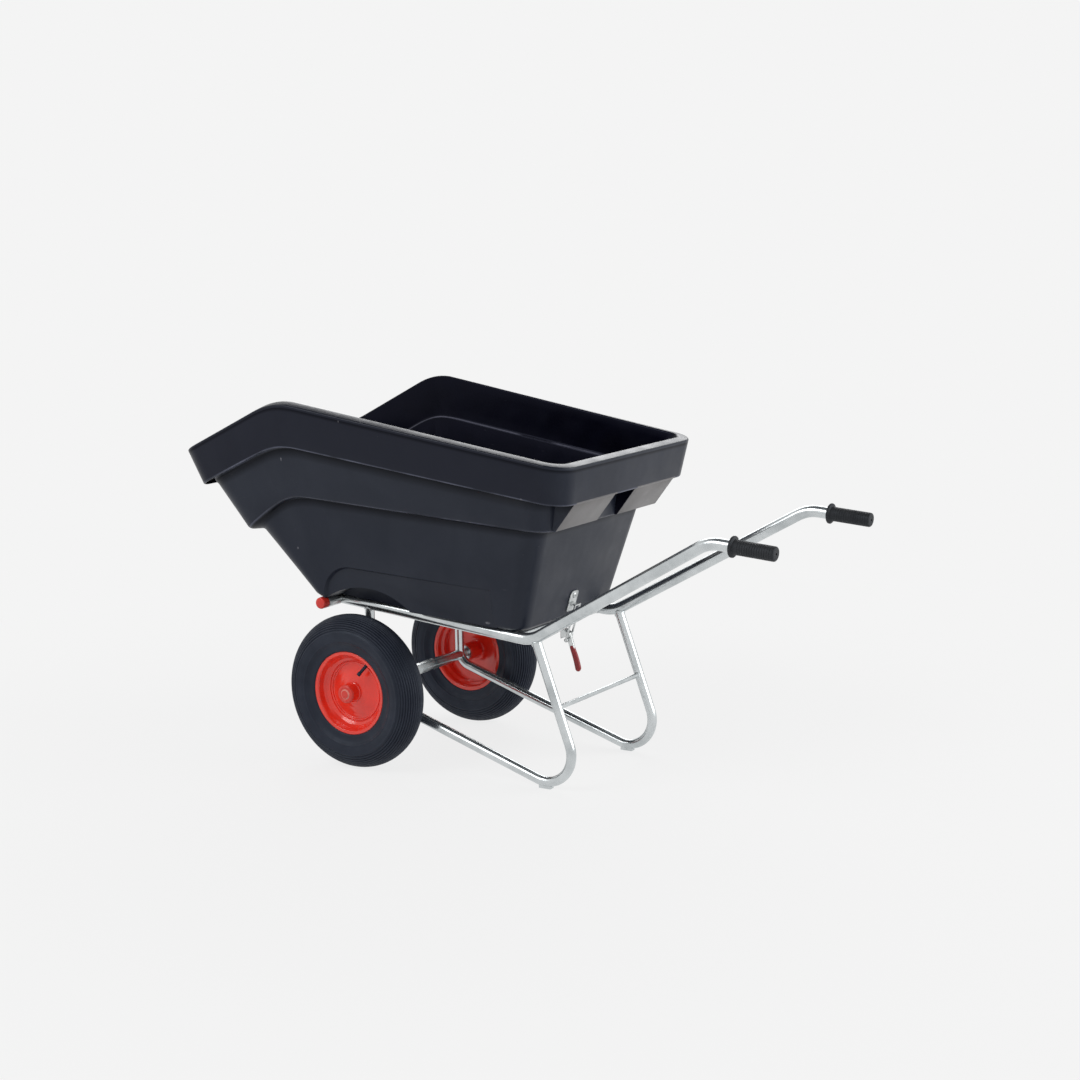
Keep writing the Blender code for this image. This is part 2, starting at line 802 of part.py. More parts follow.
def build_end_caps(names):
    """Plastic caps over the ends of the front cross tube."""
    bore = CROSS_RADIUS + SEAT_GAP
    profile = [
        (0, bore),
        (0, CAP_RADIUS),
        (CAP_LENGTH - CAP_ROUND, CAP_RADIUS),
        (CAP_LENGTH - CAP_ROUND / 3, CAP_RADIUS - CAP_ROUND / 3),
        (CAP_LENGTH, CAP_RADIUS - CAP_ROUND),
        (CAP_LENGTH, 0),
    ]
    start = CROSS_REACH + SEAT_GAP + CAP_WALL - CAP_LENGTH
    profile = [(CAP_LENGTH - CAP_WALL, 0), (CAP_LENGTH - CAP_WALL, bore), *profile]
    for name, side in names:
        add_piece(
            f"end_cap_{name}",
            lathe(profile, HUB_SIDES, pointing((PIVOT_X, side * start, PIVOT_Z), (0, side, 0))),
            CAP_RED,
            "frame",
        )


def build_grips(names):
    """Rubber grips with a hand stop at the front and a vented end."""
    bore = RAIL_RADIUS + SEAT_GAP
    body_start = GRIP_FLANGE_THICK + GRIP_ROUND
    body_end = GRIP_LENGTH - GRIP_ROUND
    profile = [
        (0, bore),
        (0, GRIP_FLANGE_RADIUS - GRIP_ROUND / 4),
        (GRIP_FLANGE_THICK / 4, GRIP_FLANGE_RADIUS),
        (GRIP_FLANGE_THICK * 3 / 4, GRIP_FLANGE_RADIUS),
        (GRIP_FLANGE_THICK, GRIP_FLANGE_RADIUS - GRIP_ROUND / 4),
        (GRIP_FLANGE_THICK, GRIP_RADIUS + GRIP_ROUND / 2),
        (body_start, GRIP_RADIUS),
        (body_end, GRIP_RADIUS),
        (GRIP_LENGTH, GRIP_RADIUS - GRIP_ROUND),
        (GRIP_LENGTH, GRIP_VENT_RADIUS),
        (GRIP_LENGTH - GRIP_END_WALL, GRIP_VENT_RADIUS),
        (GRIP_LENGTH - GRIP_END_WALL, bore),
    ]
    for name, side in names:
        path = side_path(side)
        way = (path[-1] - path[-2]).normalized()
        start = path[-1] + way * (SEAT_GAP + GRIP_END_WALL - GRIP_LENGTH)
        add_piece(f"grip_{name}", lathe(profile, GRIP_SIDES, pointing(start, way)), GRIP_BLACK, "frame")


def ring_profile(low, high, inner, outer):
    """The section of a plain ring."""
    return [(low, inner), (low, outer), (high, outer), (high, inner)]


def build_axle(names):
    """The through shaft with its spacers, washers and nuts."""
    add_piece(
        "axle_shaft", sweep(across(0, WHEEL_RADIUS, TRACK_HALF + SHAFT_REACH), SHAFT_RADIUS), ZINC, "frame"
    )
    bore = SHAFT_RADIUS + RUNNING_GAP
    inboard = FRAME_HALF + LEG_RADIUS + SEAT_GAP - TRACK_HALF
    washer_at = OUTER_BEARING_AT + BEARING_WIDTH + SEAT_GAP
    nut_at = washer_at + WASHER_THICK + SEAT_GAP
    for name, side in names:
        place = wheel_place(side)
        spacer = ring_profile(inboard, HUB_INBOARD - SEAT_GAP, bore, SPACER_RADIUS)
        add_piece(f"axle_spacer_{name}", lathe(spacer, HUB_SIDES, place), ZINC, "frame")
        washer = ring_profile(washer_at, washer_at + WASHER_THICK, bore, WASHER_RADIUS)
        add_piece(f"axle_washer_{name}", lathe(washer, HUB_SIDES, place), ZINC, "frame")
        nut = ring_profile(nut_at, nut_at + NUT_THICK, bore, NUT_RADIUS)
        add_piece(f"axle_nut_{name}", hex_nut(nut, place), ZINC, "frame", smooth=False)


def hex_nut(profile, place):
    """A six-sided nut with a round bore."""
    mesh = lathe(profile, BOLT_SIDES, place)
    centre = place.translation
    along = (place.to_3x3() @ Vector((0, 0, 1))).normalized()
    for vert in mesh.verts:
        offset = vert.co - centre
        axial = along * offset.dot(along)
        radial = offset - axial
        if radial.length > (profile[0][1] + profile[1][1]) / 2:
            start = (place.to_3x3() @ Vector((1, 0, 0))).normalized()
            turn = math.degrees(math.atan2(along.dot(start.cross(radial)), start.dot(radial)))
            if round(turn / 30) % 2:
                vert.co = centre + axial + radial * math.cos(math.radians(30))
    return mesh


def tyre_point(width_share, height_share):
    """A point of the tyre's section, by its share of the half width and of the section's height."""
    return TYRE_HALF * width_share, BEAD_SEAT_RADIUS + TYRE_HEIGHT * height_share


def tyre_profile():
    """The tyre's section, open towards the rim, as (outboard, radius) points."""
    bead = BEAD_SEAT_RADIUS + SEAT_GAP
    outer = [
        (BEAD_SEAT_HALF - BEAD_WIDTH, bead),
        (BEAD_SEAT_HALF - BEAD_FIT, bead + BEAD_FIT),
        (BEAD_SEAT_HALF + BEAD_FIT, RIM_FLANGE_RADIUS - BEAD_FIT),
        (RIM_HALF, RIM_FLANGE_RADIUS + BEAD_FIT),
        tyre_point(0.93, 0.24),
        tyre_point(1.00, 0.45),
        tyre_point(0.97, 0.65),
        tyre_point(0.86, 0.82),
        tyre_point(0.66, 0.925),
    ]
    groove = [
        (GROOVE_AT + GROOVE_HALF, WHEEL_RADIUS - CROWN_DROP),
        (GROOVE_AT, WHEEL_RADIUS - CROWN_DROP - GROOVE_DEPTH),
        (GROOVE_AT - GROOVE_HALF, WHEEL_RADIUS - CROWN_DROP * 2 / 3),
    ]
    inner = [
        (0, WHEEL_RADIUS - TREAD_THICK),
        tyre_point(0.58, 0.86),
        (TYRE_HALF - TYRE_WALL, BEAD_SEAT_RADIUS + TYRE_HEIGHT * 0.56),
        (TYRE_HALF - TYRE_WALL * 4 / 3, BEAD_SEAT_RADIUS + TYRE_HEIGHT * 0.34),
        (BEAD_SEAT_HALF - BEAD_WIDTH, BEAD_SEAT_RADIUS + TYRE_HEIGHT * 0.12),
    ]
    half = outer + groove
    mirrored = [(-at, radius) for at, radius in reversed(half)]
    inner_mirrored = [(-at, radius) for at, radius in reversed(inner[1:])]
    return half + [(0, WHEEL_RADIUS)] + mirrored + inner_mirrored + inner


def inner_tube_profile(skin):
    """The inner tube's section, drawn in by a skin's thickness."""
    reach = TYRE_HALF - TYRE_WALL - INNER_TUBE_GAP - skin
    top = WHEEL_RADIUS - TREAD_THICK - INNER_TUBE_GAP - skin
    low = BEAD_SEAT_RADIUS + INNER_TUBE_LIFT + skin
    waist = BEAD_SEAT_HALF - BEAD_WIDTH - INNER_TUBE_LIFT - skin
    half = [
        (reach * 0.60, top - TYRE_HEIGHT * 0.075),
        (reach, BEAD_SEAT_RADIUS + TYRE_HEIGHT * 0.54),
        (reach * 0.92, BEAD_SEAT_RADIUS + TYRE_HEIGHT * 0.36 + skin / 2),
        (waist, BEAD_SEAT_RADIUS + TYRE_HEIGHT * 0.125 + skin / 2),
        (waist * 0.90, low),
    ]
    return half + [(-at, radius) for at, radius in reversed(half)]


def rim_profile():
    """The rim's section: two flanges, bead seats, a well, and a dish out to the hub."""
    sheet = RIM_SHEET
    outer = [
        (RIM_HALF, RIM_FLANGE_RADIUS),
        (BEAD_SEAT_HALF + FLANGE_CURL, RIM_FLANGE_RADIUS - FLANGE_CURL),
        (BEAD_SEAT_HALF, BEAD_SEAT_RADIUS),
        (BEAD_SEAT_HALF - BEAD_WIDTH, BEAD_SEAT_RADIUS - BEAD_SEAT_DROP),
        (WELL_HALF, WELL_RADIUS),
    ]
    inner = [
        (RIM_HALF, RIM_FLANGE_RADIUS - sheet),
        (BEAD_SEAT_HALF + sheet, BEAD_SEAT_RADIUS - sheet),
        (BEAD_SEAT_HALF - BEAD_WIDTH + sheet / 2, BEAD_SEAT_RADIUS - BEAD_SEAT_DROP - sheet),
        (WELL_HALF + sheet / 2, WELL_RADIUS - sheet),
    ]
    hub = HUB_RADIUS + SEAT_GAP
    dish = [
        (DISC_AT - sheet, WELL_RADIUS - sheet),
        (DISC_AT - sheet, DISC_STEP_RADIUS),
        (DISC_RISE - sheet, hub),
        (DISC_RISE, hub),
        (DISC_AT, DISC_STEP_RADIUS + sheet / 3),
        (DISC_AT, WELL_RADIUS - sheet),
    ]
    inboard = [(-at, radius) for at, radius in reversed(outer)]
    inboard_back = [(-at, radius) for at, radius in inner]
    return outer + inboard + inboard_back + dish + list(reversed(inner))


def valve_line(side):
    """The valve stem's root and tip, on one wheel."""
    ends = []
    for radius, along in ((VALVE_ROOT_RADIUS, VALVE_ROOT_AT), (VALVE_TIP_RADIUS, VALVE_TIP_AT)):
        ends.append(
            Vector(
                (
                    radius * math.cos(VALVE_ANGLE),
                    side * (TRACK_HALF + along),
                    WHEEL_RADIUS + radius * math.sin(VALVE_ANGLE),
                )
            )
        )
    return ends


def build_inner_tube(name, side, body):
    """The inner tube, hollow, with its valve stem and the bore that fills it."""
    root, tip = valve_line(side)
    way = (tip - root).normalized()
    piece = add_piece(
        f"inner_tube_{name}",
        lathe(inner_tube_profile(0.0), WHEEL_SIDES, wheel_place(side)),
        TUBE_BLACK,
        body,
    )
    stem = add_cutter(f"valve_stem_{name}", sweep([root, tip], VALVE_RADIUS, sides=VALVE_SIDES), body)
    hollow = add_cutter(
        f"inner_tube_hollow_{name}",
        lathe(inner_tube_profile(TUBE_SKIN), WHEEL_SIDES, wheel_place(side)),
        body,
    )
    deep = root - way * 0.008
    bore = add_cutter(f"valve_bore_{name}", sweep([deep, tip + way * 0.01], VALVE_BORE, sides=6), body)
    boolean(piece, stem, "UNION")
    boolean(piece, hollow, "DIFFERENCE")
    boolean(piece, bore, "DIFFERENCE")
    gap = SEAT_GAP
    cap = [
        (-VALVE_CAP_LENGTH * 0.55, VALVE_RADIUS + gap),
        (-VALVE_CAP_LENGTH * 0.55, VALVE_CAP_RADIUS),
        (VALVE_CAP_LENGTH * 0.35, VALVE_CAP_RADIUS),
        (VALVE_CAP_LENGTH * 0.45, VALVE_CAP_RADIUS * 0.7),
        (VALVE_CAP_LENGTH * 0.45, 0),
    ]
    cap = [(gap, 0), (gap, VALVE_RADIUS + gap), *cap]
    add_piece(f"valve_cap_{name}", lathe(cap, VALVE_SIDES, pointing(tip, way)), TUBE_BLACK, body)


def build_rim(name, side, body):
    """The pressed rim with its valve hole."""
    root, tip = valve_line(side)
    piece = add_piece(f"rim_{name}", lathe(rim_profile(), WHEEL_SIDES, wheel_place(side)), RIM_RED, body)
    hole = add_cutter(
        f"valve_hole_{name}",
        sweep([root, tip], VALVE_RADIUS + VALVE_HOLE_GAP, sides=VALVE_SIDES),
        body,
    )
    boolean(piece, hole, "DIFFERENCE")


def build_hub(name, side, body):
    """The hub tube, its two bearings and its cap."""
    place = wheel_place(side)
    hub = ring_profile(HUB_INBOARD, HUB_OUTBOARD, HUB_BORE, HUB_RADIUS)
    add_piece(f"hub_{name}", lathe(hub, HUB_SIDES, place), RIM_RED, body)
    bore = SHAFT_RADIUS + RUNNING_GAP
    for label, start in (("inner", HUB_INBOARD), ("outer", OUTER_BEARING_AT)):
        ring = ring_profile(start, start + BEARING_WIDTH, bore, HUB_BORE - SEAT_GAP)
        add_piece(f"{label}_bearing_{name}", lathe(ring, HUB_SIDES, place), BEARING_STEEL, body)
    face = HUB_OUTBOARD + SEAT_GAP
    head = face + HUB_CAP_HEAD
    plug = HUB_BORE - SEAT_GAP
    cap = [
        (face - HUB_CAP_PLUG, 0),
        (face - HUB_CAP_PLUG, plug),
        (face, plug),
        (face, HUB_RADIUS),
        (face + HUB_CAP_HEAD * 0.4, HUB_RADIUS),
        (head - HUB_CAP_HEAD * 0.1, HUB_RADIUS - HUB_CAP_HEAD * 0.5),
        (head, HUB_RADIUS - HUB_CAP_HEAD),
        (head, HUB_CAP_BOSS),
        (head + HUB_CAP_BOSS_HEIGHT, HUB_CAP_BOSS - HUB_CAP_BOSS_HEIGHT),
        (head + HUB_CAP_BOSS_HEIGHT, 0),
    ]
    add_piece(f"hub_cap_{name}", lathe(cap, HUB_SIDES, place), CAP_RED, body)


def build_wheels(names):
    """Both wheels, each on its own body."""
    for name, side in names:
        body = f"wheel_{name}"
        add_piece(f"tyre_{name}", lathe(tyre_profile(), WHEEL_SIDES, wheel_place(side)), TYRE_BLACK, body)
        build_rim(name, side, body)
        build_inner_tube(name, side, body)
        build_hub(name, side, body)


def level_outline(level):
    """Half of a line round the tub, from the middle of its front to the middle of its rear."""
    corner = level.front_corner
    x = level.front_x + corner
    half = level.half(x)
    points = [(level.front_x, 0.0)]
    for k in range(5):
        turn = math.pi - math.pi / 2 * k / 4
        points.append((x + corner * math.cos(turn), half - corner + corner * math.sin(turn)))
    for share in (-1, -0.5, 0, 0.5, 1):
        at = level.peak_x + level.blend * share
        points.append((at, level.half(at)))
    corner = level.rear_corner
    x = level.rear_x - corner
    half = level.half(x)
    for k in range(5):
        turn = math.pi / 2 - math.pi / 2 * k / 4
        points.append((x + corner * math.cos(turn), half - corner + corner * math.sin(turn)))
    points.append((level.rear_x, 0.0))
    return [Vector((x, y, level.height(x))) for x, y in points]


def add_level(mesh, level):
    """The whole ring of vertices for one line round the tub."""
    half = level_outline(level)
    other = [Vector((p.x, -p.y, p.z)) for p in reversed(half[1:-1])]
    return [mesh.verts.new(point) for point in half + other]


def tub_levels():
    """Every line of the tub's skin: up the outside, round the rim's skirt, and down the inside."""
    groove_inner = RIM_TOP.inside(RIM_WIDTH - TUB_WALL, -GROOVE_ROOF)
    groove_outer = RIM_TOP.inside(TUB_WALL, -GROOVE_ROOF)
    return [
        FLOOR_EDGE,
        FLOOR_SIDE,
        LOW_STEP_IN,
        LOW_STEP_OUT,
        SKIRT_WALL,
        SKIRT_WALL.inside(-WALL_LEDGE, WALL_LEDGE_RISE),
        groove_inner,
        groove_outer,
        SKIRT_EDGE.inside(TUB_WALL, 0.0),
        SKIRT_EDGE,
        RIM_TOP.inside(0.0, -RIM_ROUND),
        RIM_TOP.inside(RIM_ROUND, 0.0),
        RIM_TOP.inside(RIM_WIDTH - RIM_ROUND, 0.0),
        RIM_TOP.inside(RIM_WIDTH, -RIM_ROUND),
        SKIRT_WALL.inside(TUB_WALL - WALL_LEDGE, TUB_WALL + WALL_LEDGE_RISE),
        SKIRT_WALL.inside(TUB_WALL, TUB_WALL),
        LOW_STEP_OUT.inside(TUB_WALL, TUB_WALL),
        LOW_STEP_IN.inside(TUB_WALL, TUB_WALL),
        floor_level(HEEL_OUT, HEEL_RISE + TUB_WALL, TUB_WALL),
        floor_level(0.0, TUB_WALL, TUB_WALL),
    ]


def tub_skin():
    """The moulded shell, lofted from line to line."""
    mesh = bmesh.new()
    rings = [add_level(mesh, level) for level in tub_levels()]
    for first, second in zip(rings, rings[1:]):
        join_rings(mesh, first, second)
    mesh.faces.new(rings[0])
    mesh.faces.new(rings[-1])
    bmesh.ops.triangulate(mesh, faces=mesh.faces)
    return mesh


def side_wall_y(x, z):
    """Half width of the tub's lowest side wall, on its outer face."""
    low = FLOOR_SIDE.height(x)
    share = (z - low) / (LOW_STEP_IN.height(x) - low)
    return FLOOR_SIDE.half(x) + (LOW_STEP_IN.half(x) - FLOOR_SIDE.half(x)) * share


def wall_prism(outline, near, far):
    """A solid on each side of the cart, between two surfaces y = near(x, z) and y = far(x, z)."""
    mesh = bmesh.new()
    for side in (-1, 1):
        low = [mesh.verts.new((x, side * near(x, z), z)) for x, z in outline]
        high = [mesh.verts.new((x, side * far(x, z), z)) for x, z in outline]
        join_rings(mesh, low, high)
        mesh.faces.new(low)
        mesh.faces.new(high)
    bmesh.ops.triangulate(mesh, faces=mesh.faces)
    return mesh


def panel_outline(grow, foot):
    """The side panel's outline, grown by a margin, with its foot at a height over the floor."""
    front = PANEL_FRONT_X - grow
    rear = PANEL_REAR_X + grow
    top = PIVOT_Z + PANEL_FRONT_RISE + grow
    corner = PANEL_CORNER + grow
    rounded = arc((front + corner, top - corner), corner, math.pi, math.pi / 2, ARC_STEPS)
    foot_front = (front, floor_height(front) + foot)
    foot_rear = (rear, floor_height(rear) + foot)
    return [foot_front, *rounded, (rear, PIVOT_Z + PANEL_REAR_RISE + grow), foot_rear]


def panel_inset(x):
    """How deep the side panel is set in at x. It fades out towards the rear."""
    share = (x - PANEL_FADE_X) / (PANEL_REAR_X - PANEL_FADE_X)
    return PANEL_DEPTH * (1 - min(1.0, max(0.0, share)))


def pocket_outline(grow, foot):
    """The wheel pocket's outline, grown by a margin: a round arch that stands on the floor line."""
    reach = POCKET_X - PIVOT_X - POCKET_START
    radius = math.hypot(reach, floor_height(POCKET_X) - POCKET_Z) + grow
    rise = (floor_height(POCKET_X) + foot - POCKET_Z) * math.cos(RAIL_DROP)
    reach = math.acos(rise / radius)
    top = math.pi / 2 - RAIL_DROP
    return arc((POCKET_X, POCKET_Z), radius, top + reach, top - reach, POCKET_STEPS)


def lug_outline():
    """The side view of the lugs: a wedge that leans out to the rim's skirt."""
    foot = LOW_STEP_OUT.rear_z + LUG_FOOT
    top = SKIRT_EDGE.rear_z + LUG_BITE
    return [
        (LOW_STEP_OUT.rear_x - LUG_BITE, foot),
        (LOW_STEP_OUT.rear_x + 3 * LUG_FOOT, foot),
        (SKIRT_EDGE.rear_x - TUB_WALL / 3, top),
        (SKIRT_WALL.rear_x - LUG_BITE, top),
    ]


def front_wall():
    """A point at the foot of the tub's front wall, the way up it, and its outward normal."""
    foot = Vector((FLOOR_SIDE.front_x, 0, FLOOR_SIDE.front_z))
    head = Vector((LOW_STEP_IN.front_x, 0, LOW_STEP_IN.front_z))
    up = (head - foot).normalized()
    return foot, up, Vector((-up.z, 0, up.x))


def rear_wall():
    """A point at the foot of the tub's rear wall, the way up it, and its outward normal."""
    foot = Vector((FLOOR_SIDE.rear_x, 0, FLOOR_SIDE.rear_z))
    head = Vector((LOW_STEP_IN.rear_x, 0, LOW_STEP_IN.rear_z))
    up = (head - foot).normalized()
    return foot, up, Vector((up.z, 0, -up.x))


def wall_thickness(normal):
    """The tub's thickness square to a wall, whose inner line is set in and up by the same amount."""
    return TUB_WALL * (abs(normal.x) + abs(normal.z))


def hinge_bolt_places(side):
    """Where a bracket's bolts pass the front wall, on its outer face."""
    foot, up, _ = front_wall()
    middle = SLEEVE_INNER_Y + SLEEVE_LENGTH / 2
    return [foot + up * at + Vector((0, side * middle, 0)) for at in HINGE_BOLTS_AT]


def keeper_bolt_place():
    """Where the keeper's bolt passes the rear wall, on its outer face."""
    foot, up, _ = rear_wall()
    return foot + up * KEEPER_BOLT_AT


def bolt_hole(place, normal):
    """A cutter for one bolt's hole."""
    reach = normal * 0.02
    return sweep([place - reach, place + reach], BOLT_RADIUS + BOLT_GAP, sides=BOLT_SIDES)


def bolt(name, place, normal, plate):
    """A bolt through the tub's wall and a plate on its outer face, with its nut inside the tub."""
    head_at = plate + 2 * SEAT_GAP
    nut_at = -wall_thickness(normal) - SEAT_GAP
    profile = [
        (head_at + BOLT_HEAD_HEIGHT, 0),
        (head_at + BOLT_HEAD_HEIGHT * 0.9, BOLT_HEAD_RADIUS * 0.5),
        (head_at + BOLT_HEAD_HEIGHT * 0.3, BOLT_HEAD_RADIUS),
        (head_at, BOLT_HEAD_RADIUS),
        (head_at, BOLT_RADIUS),
        (nut_at, BOLT_RADIUS),
        (nut_at, BOLT_NUT_RADIUS),
        (nut_at - BOLT_NUT_HEIGHT, BOLT_NUT_RADIUS),
        (nut_at - BOLT_NUT_HEIGHT, 0),
    ]
    add_piece(name, lathe(profile, BOLT_SIDES, pointing(place, normal)), ZINC, "tub")


def build_tub(names):
    """The tub: lofted shell, wheel pockets, side panels, rear lugs and bolt holes."""
    tub = add_piece("tub", tub_skin(), TUB_BLACK, "tub")
    backing = TUB_WALL * 0.9
    panel_back = wall_prism(
        panel_outline(backing, TUB_WALL / 2),
        lambda x, z: side_wall_y(x, z) - panel_inset(x) - backing,
        lambda x, z: side_wall_y(x, z) - TUB_WALL * 0.4,
    )
    pocket_back = wall_prism(
        pocket_outline(TUB_WALL, TUB_WALL / 2),
        lambda x, z: POCKET_WALL_Y - TUB_WALL,
        lambda x, z: side_wall_y(x, z) - TUB_WALL * 0.5,
    )
    panel_cut = wall_prism(
        panel_outline(0.0, -0.02),
        lambda x, z: side_wall_y(x, z) - panel_inset(x) + 0.0006 * (x > PANEL_FADE_X),
        lambda x, z: side_wall_y(x, z) + 0.03,
    )
    pocket_cut = wall_prism(
        pocket_outline(0.0, -0.02),
        lambda x, z: POCKET_WALL_Y,
        lambda x, z: side_wall_y(x, z) + 0.03,
    )
    lugs = merge(
        prism(lug_outline(), LUG_INNER_Y, LUG_OUTER_Y),
        prism(lug_outline(), -LUG_OUTER_Y, -LUG_INNER_Y),
    )
    holes = [bolt_hole(keeper_bolt_place(), rear_wall()[2])]
    for _, side in names:
        holes += [bolt_hole(place, front_wall()[2]) for place in hinge_bolt_places(side)]
    steps = [
        ("panel_backing", panel_back, "UNION"),
        ("pocket_backing", pocket_back, "UNION"),
        ("rear_lugs", lugs, "UNION"),
        ("panel_cut", panel_cut, "DIFFERENCE"),
        ("pocket_cut", pocket_cut, "DIFFERENCE"),
        ("tub_bolt_holes", merge(*holes), "DIFFERENCE"),
    ]
    for name, mesh, operation in steps:
        boolean(tub, add_cutter(name, mesh, "tub"), operation)


def build_hinges(names):
    """Flag brackets on the front wall, whose sleeves turn on the front cross tube."""
    foot, up, out = front_wall()
    pivot = Vector((PIVOT_X, 0, PIVOT_Z))
    start = (pivot - foot).dot(up) + CROSS_RADIUS + 2 * SEAT_GAP
    for name, side in names:
        ends = sorted((side * SLEEVE_INNER_Y, side * (SLEEVE_INNER_Y + SLEEVE_LENGTH)))
        sleeve = lathe(
            ring_profile(0, SLEEVE_LENGTH, CROSS_RADIUS + RUNNING_GAP, SLEEVE_RADIUS),
            HUB_SIDES,
            pointing((PIVOT_X, side * SLEEVE_INNER_Y, PIVOT_Z), (0, side, 0)),
        )
        piece = add_piece(f"hinge_bracket_{name}", sleeve, ZINC, "tub")
        corners = [
            foot + up * start + out * SEAT_GAP,
            foot + up * FLAG_REACH + out * SEAT_GAP,
            foot + up * FLAG_REACH + out * (SEAT_GAP + FLAG_THICK),
            foot + up * start + out * (SEAT_GAP + FLAG_THICK),
        ]
        plate = prism([(p.x, p.z) for p in corners], ends[0] + FLAG_MARGIN, ends[1] - FLAG_MARGIN)
        boolean(piece, add_cutter(f"hinge_flag_{name}", plate, "tub"), "UNION")
        places = hinge_bolt_places(side)
        holes = merge(*[bolt_hole(place, out) for place in places])
        boolean(piece, add_cutter(f"hinge_holes_{name}", holes, "tub"), "DIFFERENCE")
        for label, place in zip(("lower", "upper"), places):
            bolt(f"hinge_bolt_{name}_{label}", place, out, FLAG_THICK)


def wall_point(out, up):
    """A point of the side view, given by its distance from the rear wall and its way up it."""
    foot, along, normal = rear_wall()
    point = foot + along * up + normal * out
    return point.x, point.z


def build_keeper():
    """The latch's strike plate on the tub, with the lip that the hook pulls on."""
    plate = [
        wall_point(SEAT_GAP, KEEPER_LOW),
        wall_point(SEAT_GAP + KEEPER_THICK, KEEPER_LOW),
        wall_point(SEAT_GAP + KEEPER_THICK, KEEPER_HIGH),
        wall_point(SEAT_GAP, KEEPER_HIGH),
    ]
    piece = add_piece("latch_keeper", prism(plate, -KEEPER_HALF, KEEPER_HALF), ZINC, "tub", smooth=False)
    lip = [
        wall_point(KEEPER_THICK / 2, LIP_AT),
        wall_point(KEEPER_THICK + LIP_REACH, LIP_AT),
        wall_point(KEEPER_THICK + LIP_REACH, LIP_AT + LIP_THICK),
        wall_point(KEEPER_THICK / 2, LIP_AT + LIP_THICK),
    ]
    boolean(piece, add_cutter("keeper_lip", prism(lip, -LIP_HALF, LIP_HALF), "tub"), "UNION")
    hole = bolt_hole(keeper_bolt_place(), rear_wall()[2])
    boolean(piece, add_cutter("keeper_hole", hole, "tub"), "DIFFERENCE")
    bolt("keeper_bolt", keeper_bolt_place(), rear_wall()[2], KEEPER_THICK)


def latch_places():
    """The latch's pivot, and its link pin at rest, in the side view."""
    foot, up, out = rear_wall()
    hook_closed = KEEPER_THICK + LIP_REACH + HOOK_LIP_GAP + HOOK_THICK / 2
    pivot_out = hook_closed + CRANK * math.sin(CLOSED_TURN)
    pivot_up = (PIVOT_Z - LATCH_PIN_UNDER - foot.z - out.z * pivot_out) / up.z
    pivot = foot + up * pivot_up + out * pivot_out
    link = pivot - up * CRANK * math.cos(REST_TURN) + out * CRANK * math.sin(REST_TURN)
    return pivot, link


def pin_path(place, half):
    """The axis of a pin across the cart."""
    return across(place.x, place.z, half)


def round_plate(first, first_radius, second, second_radius):
    """The outline round two circles of a side view."""
    way = Vector((second[0] - first[0], second[1] - first[1]))
    heading = math.atan2(way.y, way.x)
    lean = math.asin((first_radius - second_radius) / way.length)
    turn = math.pi / 2 - lean
    back = arc(first, first_radius, heading + turn, heading + 2 * math.pi - turn, ARC_STEPS)
    front = arc(second, second_radius, heading - turn, heading + turn, ARC_STEPS)
    return back + front


def build_latch_base():
    """The latch's channel on the rear cross tube: a web and two ears."""
    pivot, _ = latch_places()
    ear_inner = BOSS_HALF + SEAT_GAP
    ear_outer = ear_inner + EAR_THICK
    web_x = REAR_CROSS_X + CROSS_RADIUS + SEAT_GAP
    foot_z = pivot.z - BASE_FOOT_UNDER
    top_z = foot_z + BASE_HEIGHT
    web = [
        (web_x, foot_z),
        (web_x + BASE_THICK, foot_z),
        (web_x + BASE_THICK, top_z),
        (web_x, top_z),
    ]
    piece = add_piece("latch_base", prism(web, -ear_outer, ear_outer), ZINC, "frame", smooth=False)
    nose = arc((pivot.x, pivot.z), LATCH_BOSS_RADIUS, math.pi / 2, -math.pi / 2, ARC_STEPS)
    ear_z = pivot.z - LATCH_BOSS_RADIUS
    ear = [(web_x + BASE_THICK / 2, ear_z), (web_x + BASE_THICK / 2, ear_z + EAR_HEIGHT), *nose]
    ears = merge(prism(ear, ear_inner, ear_outer), prism(ear, -ear_outer, -ear_inner))
    boolean(piece, add_cutter("latch_ears", ears, "frame"), "UNION")
    hole = sweep(pin_path(pivot, ear_outer + 0.01), LATCH_PIN_RADIUS + PIN_GAP, sides=PIN_SIDES)
    boolean(piece, add_cutter("latch_ear_holes", hole, "frame"), "DIFFERENCE")
    pin = sweep(pin_path(pivot, ear_outer), LATCH_PIN_RADIUS, sides=PIN_SIDES)
    add_piece("latch_pivot_pin", pin, ZINC, "frame")


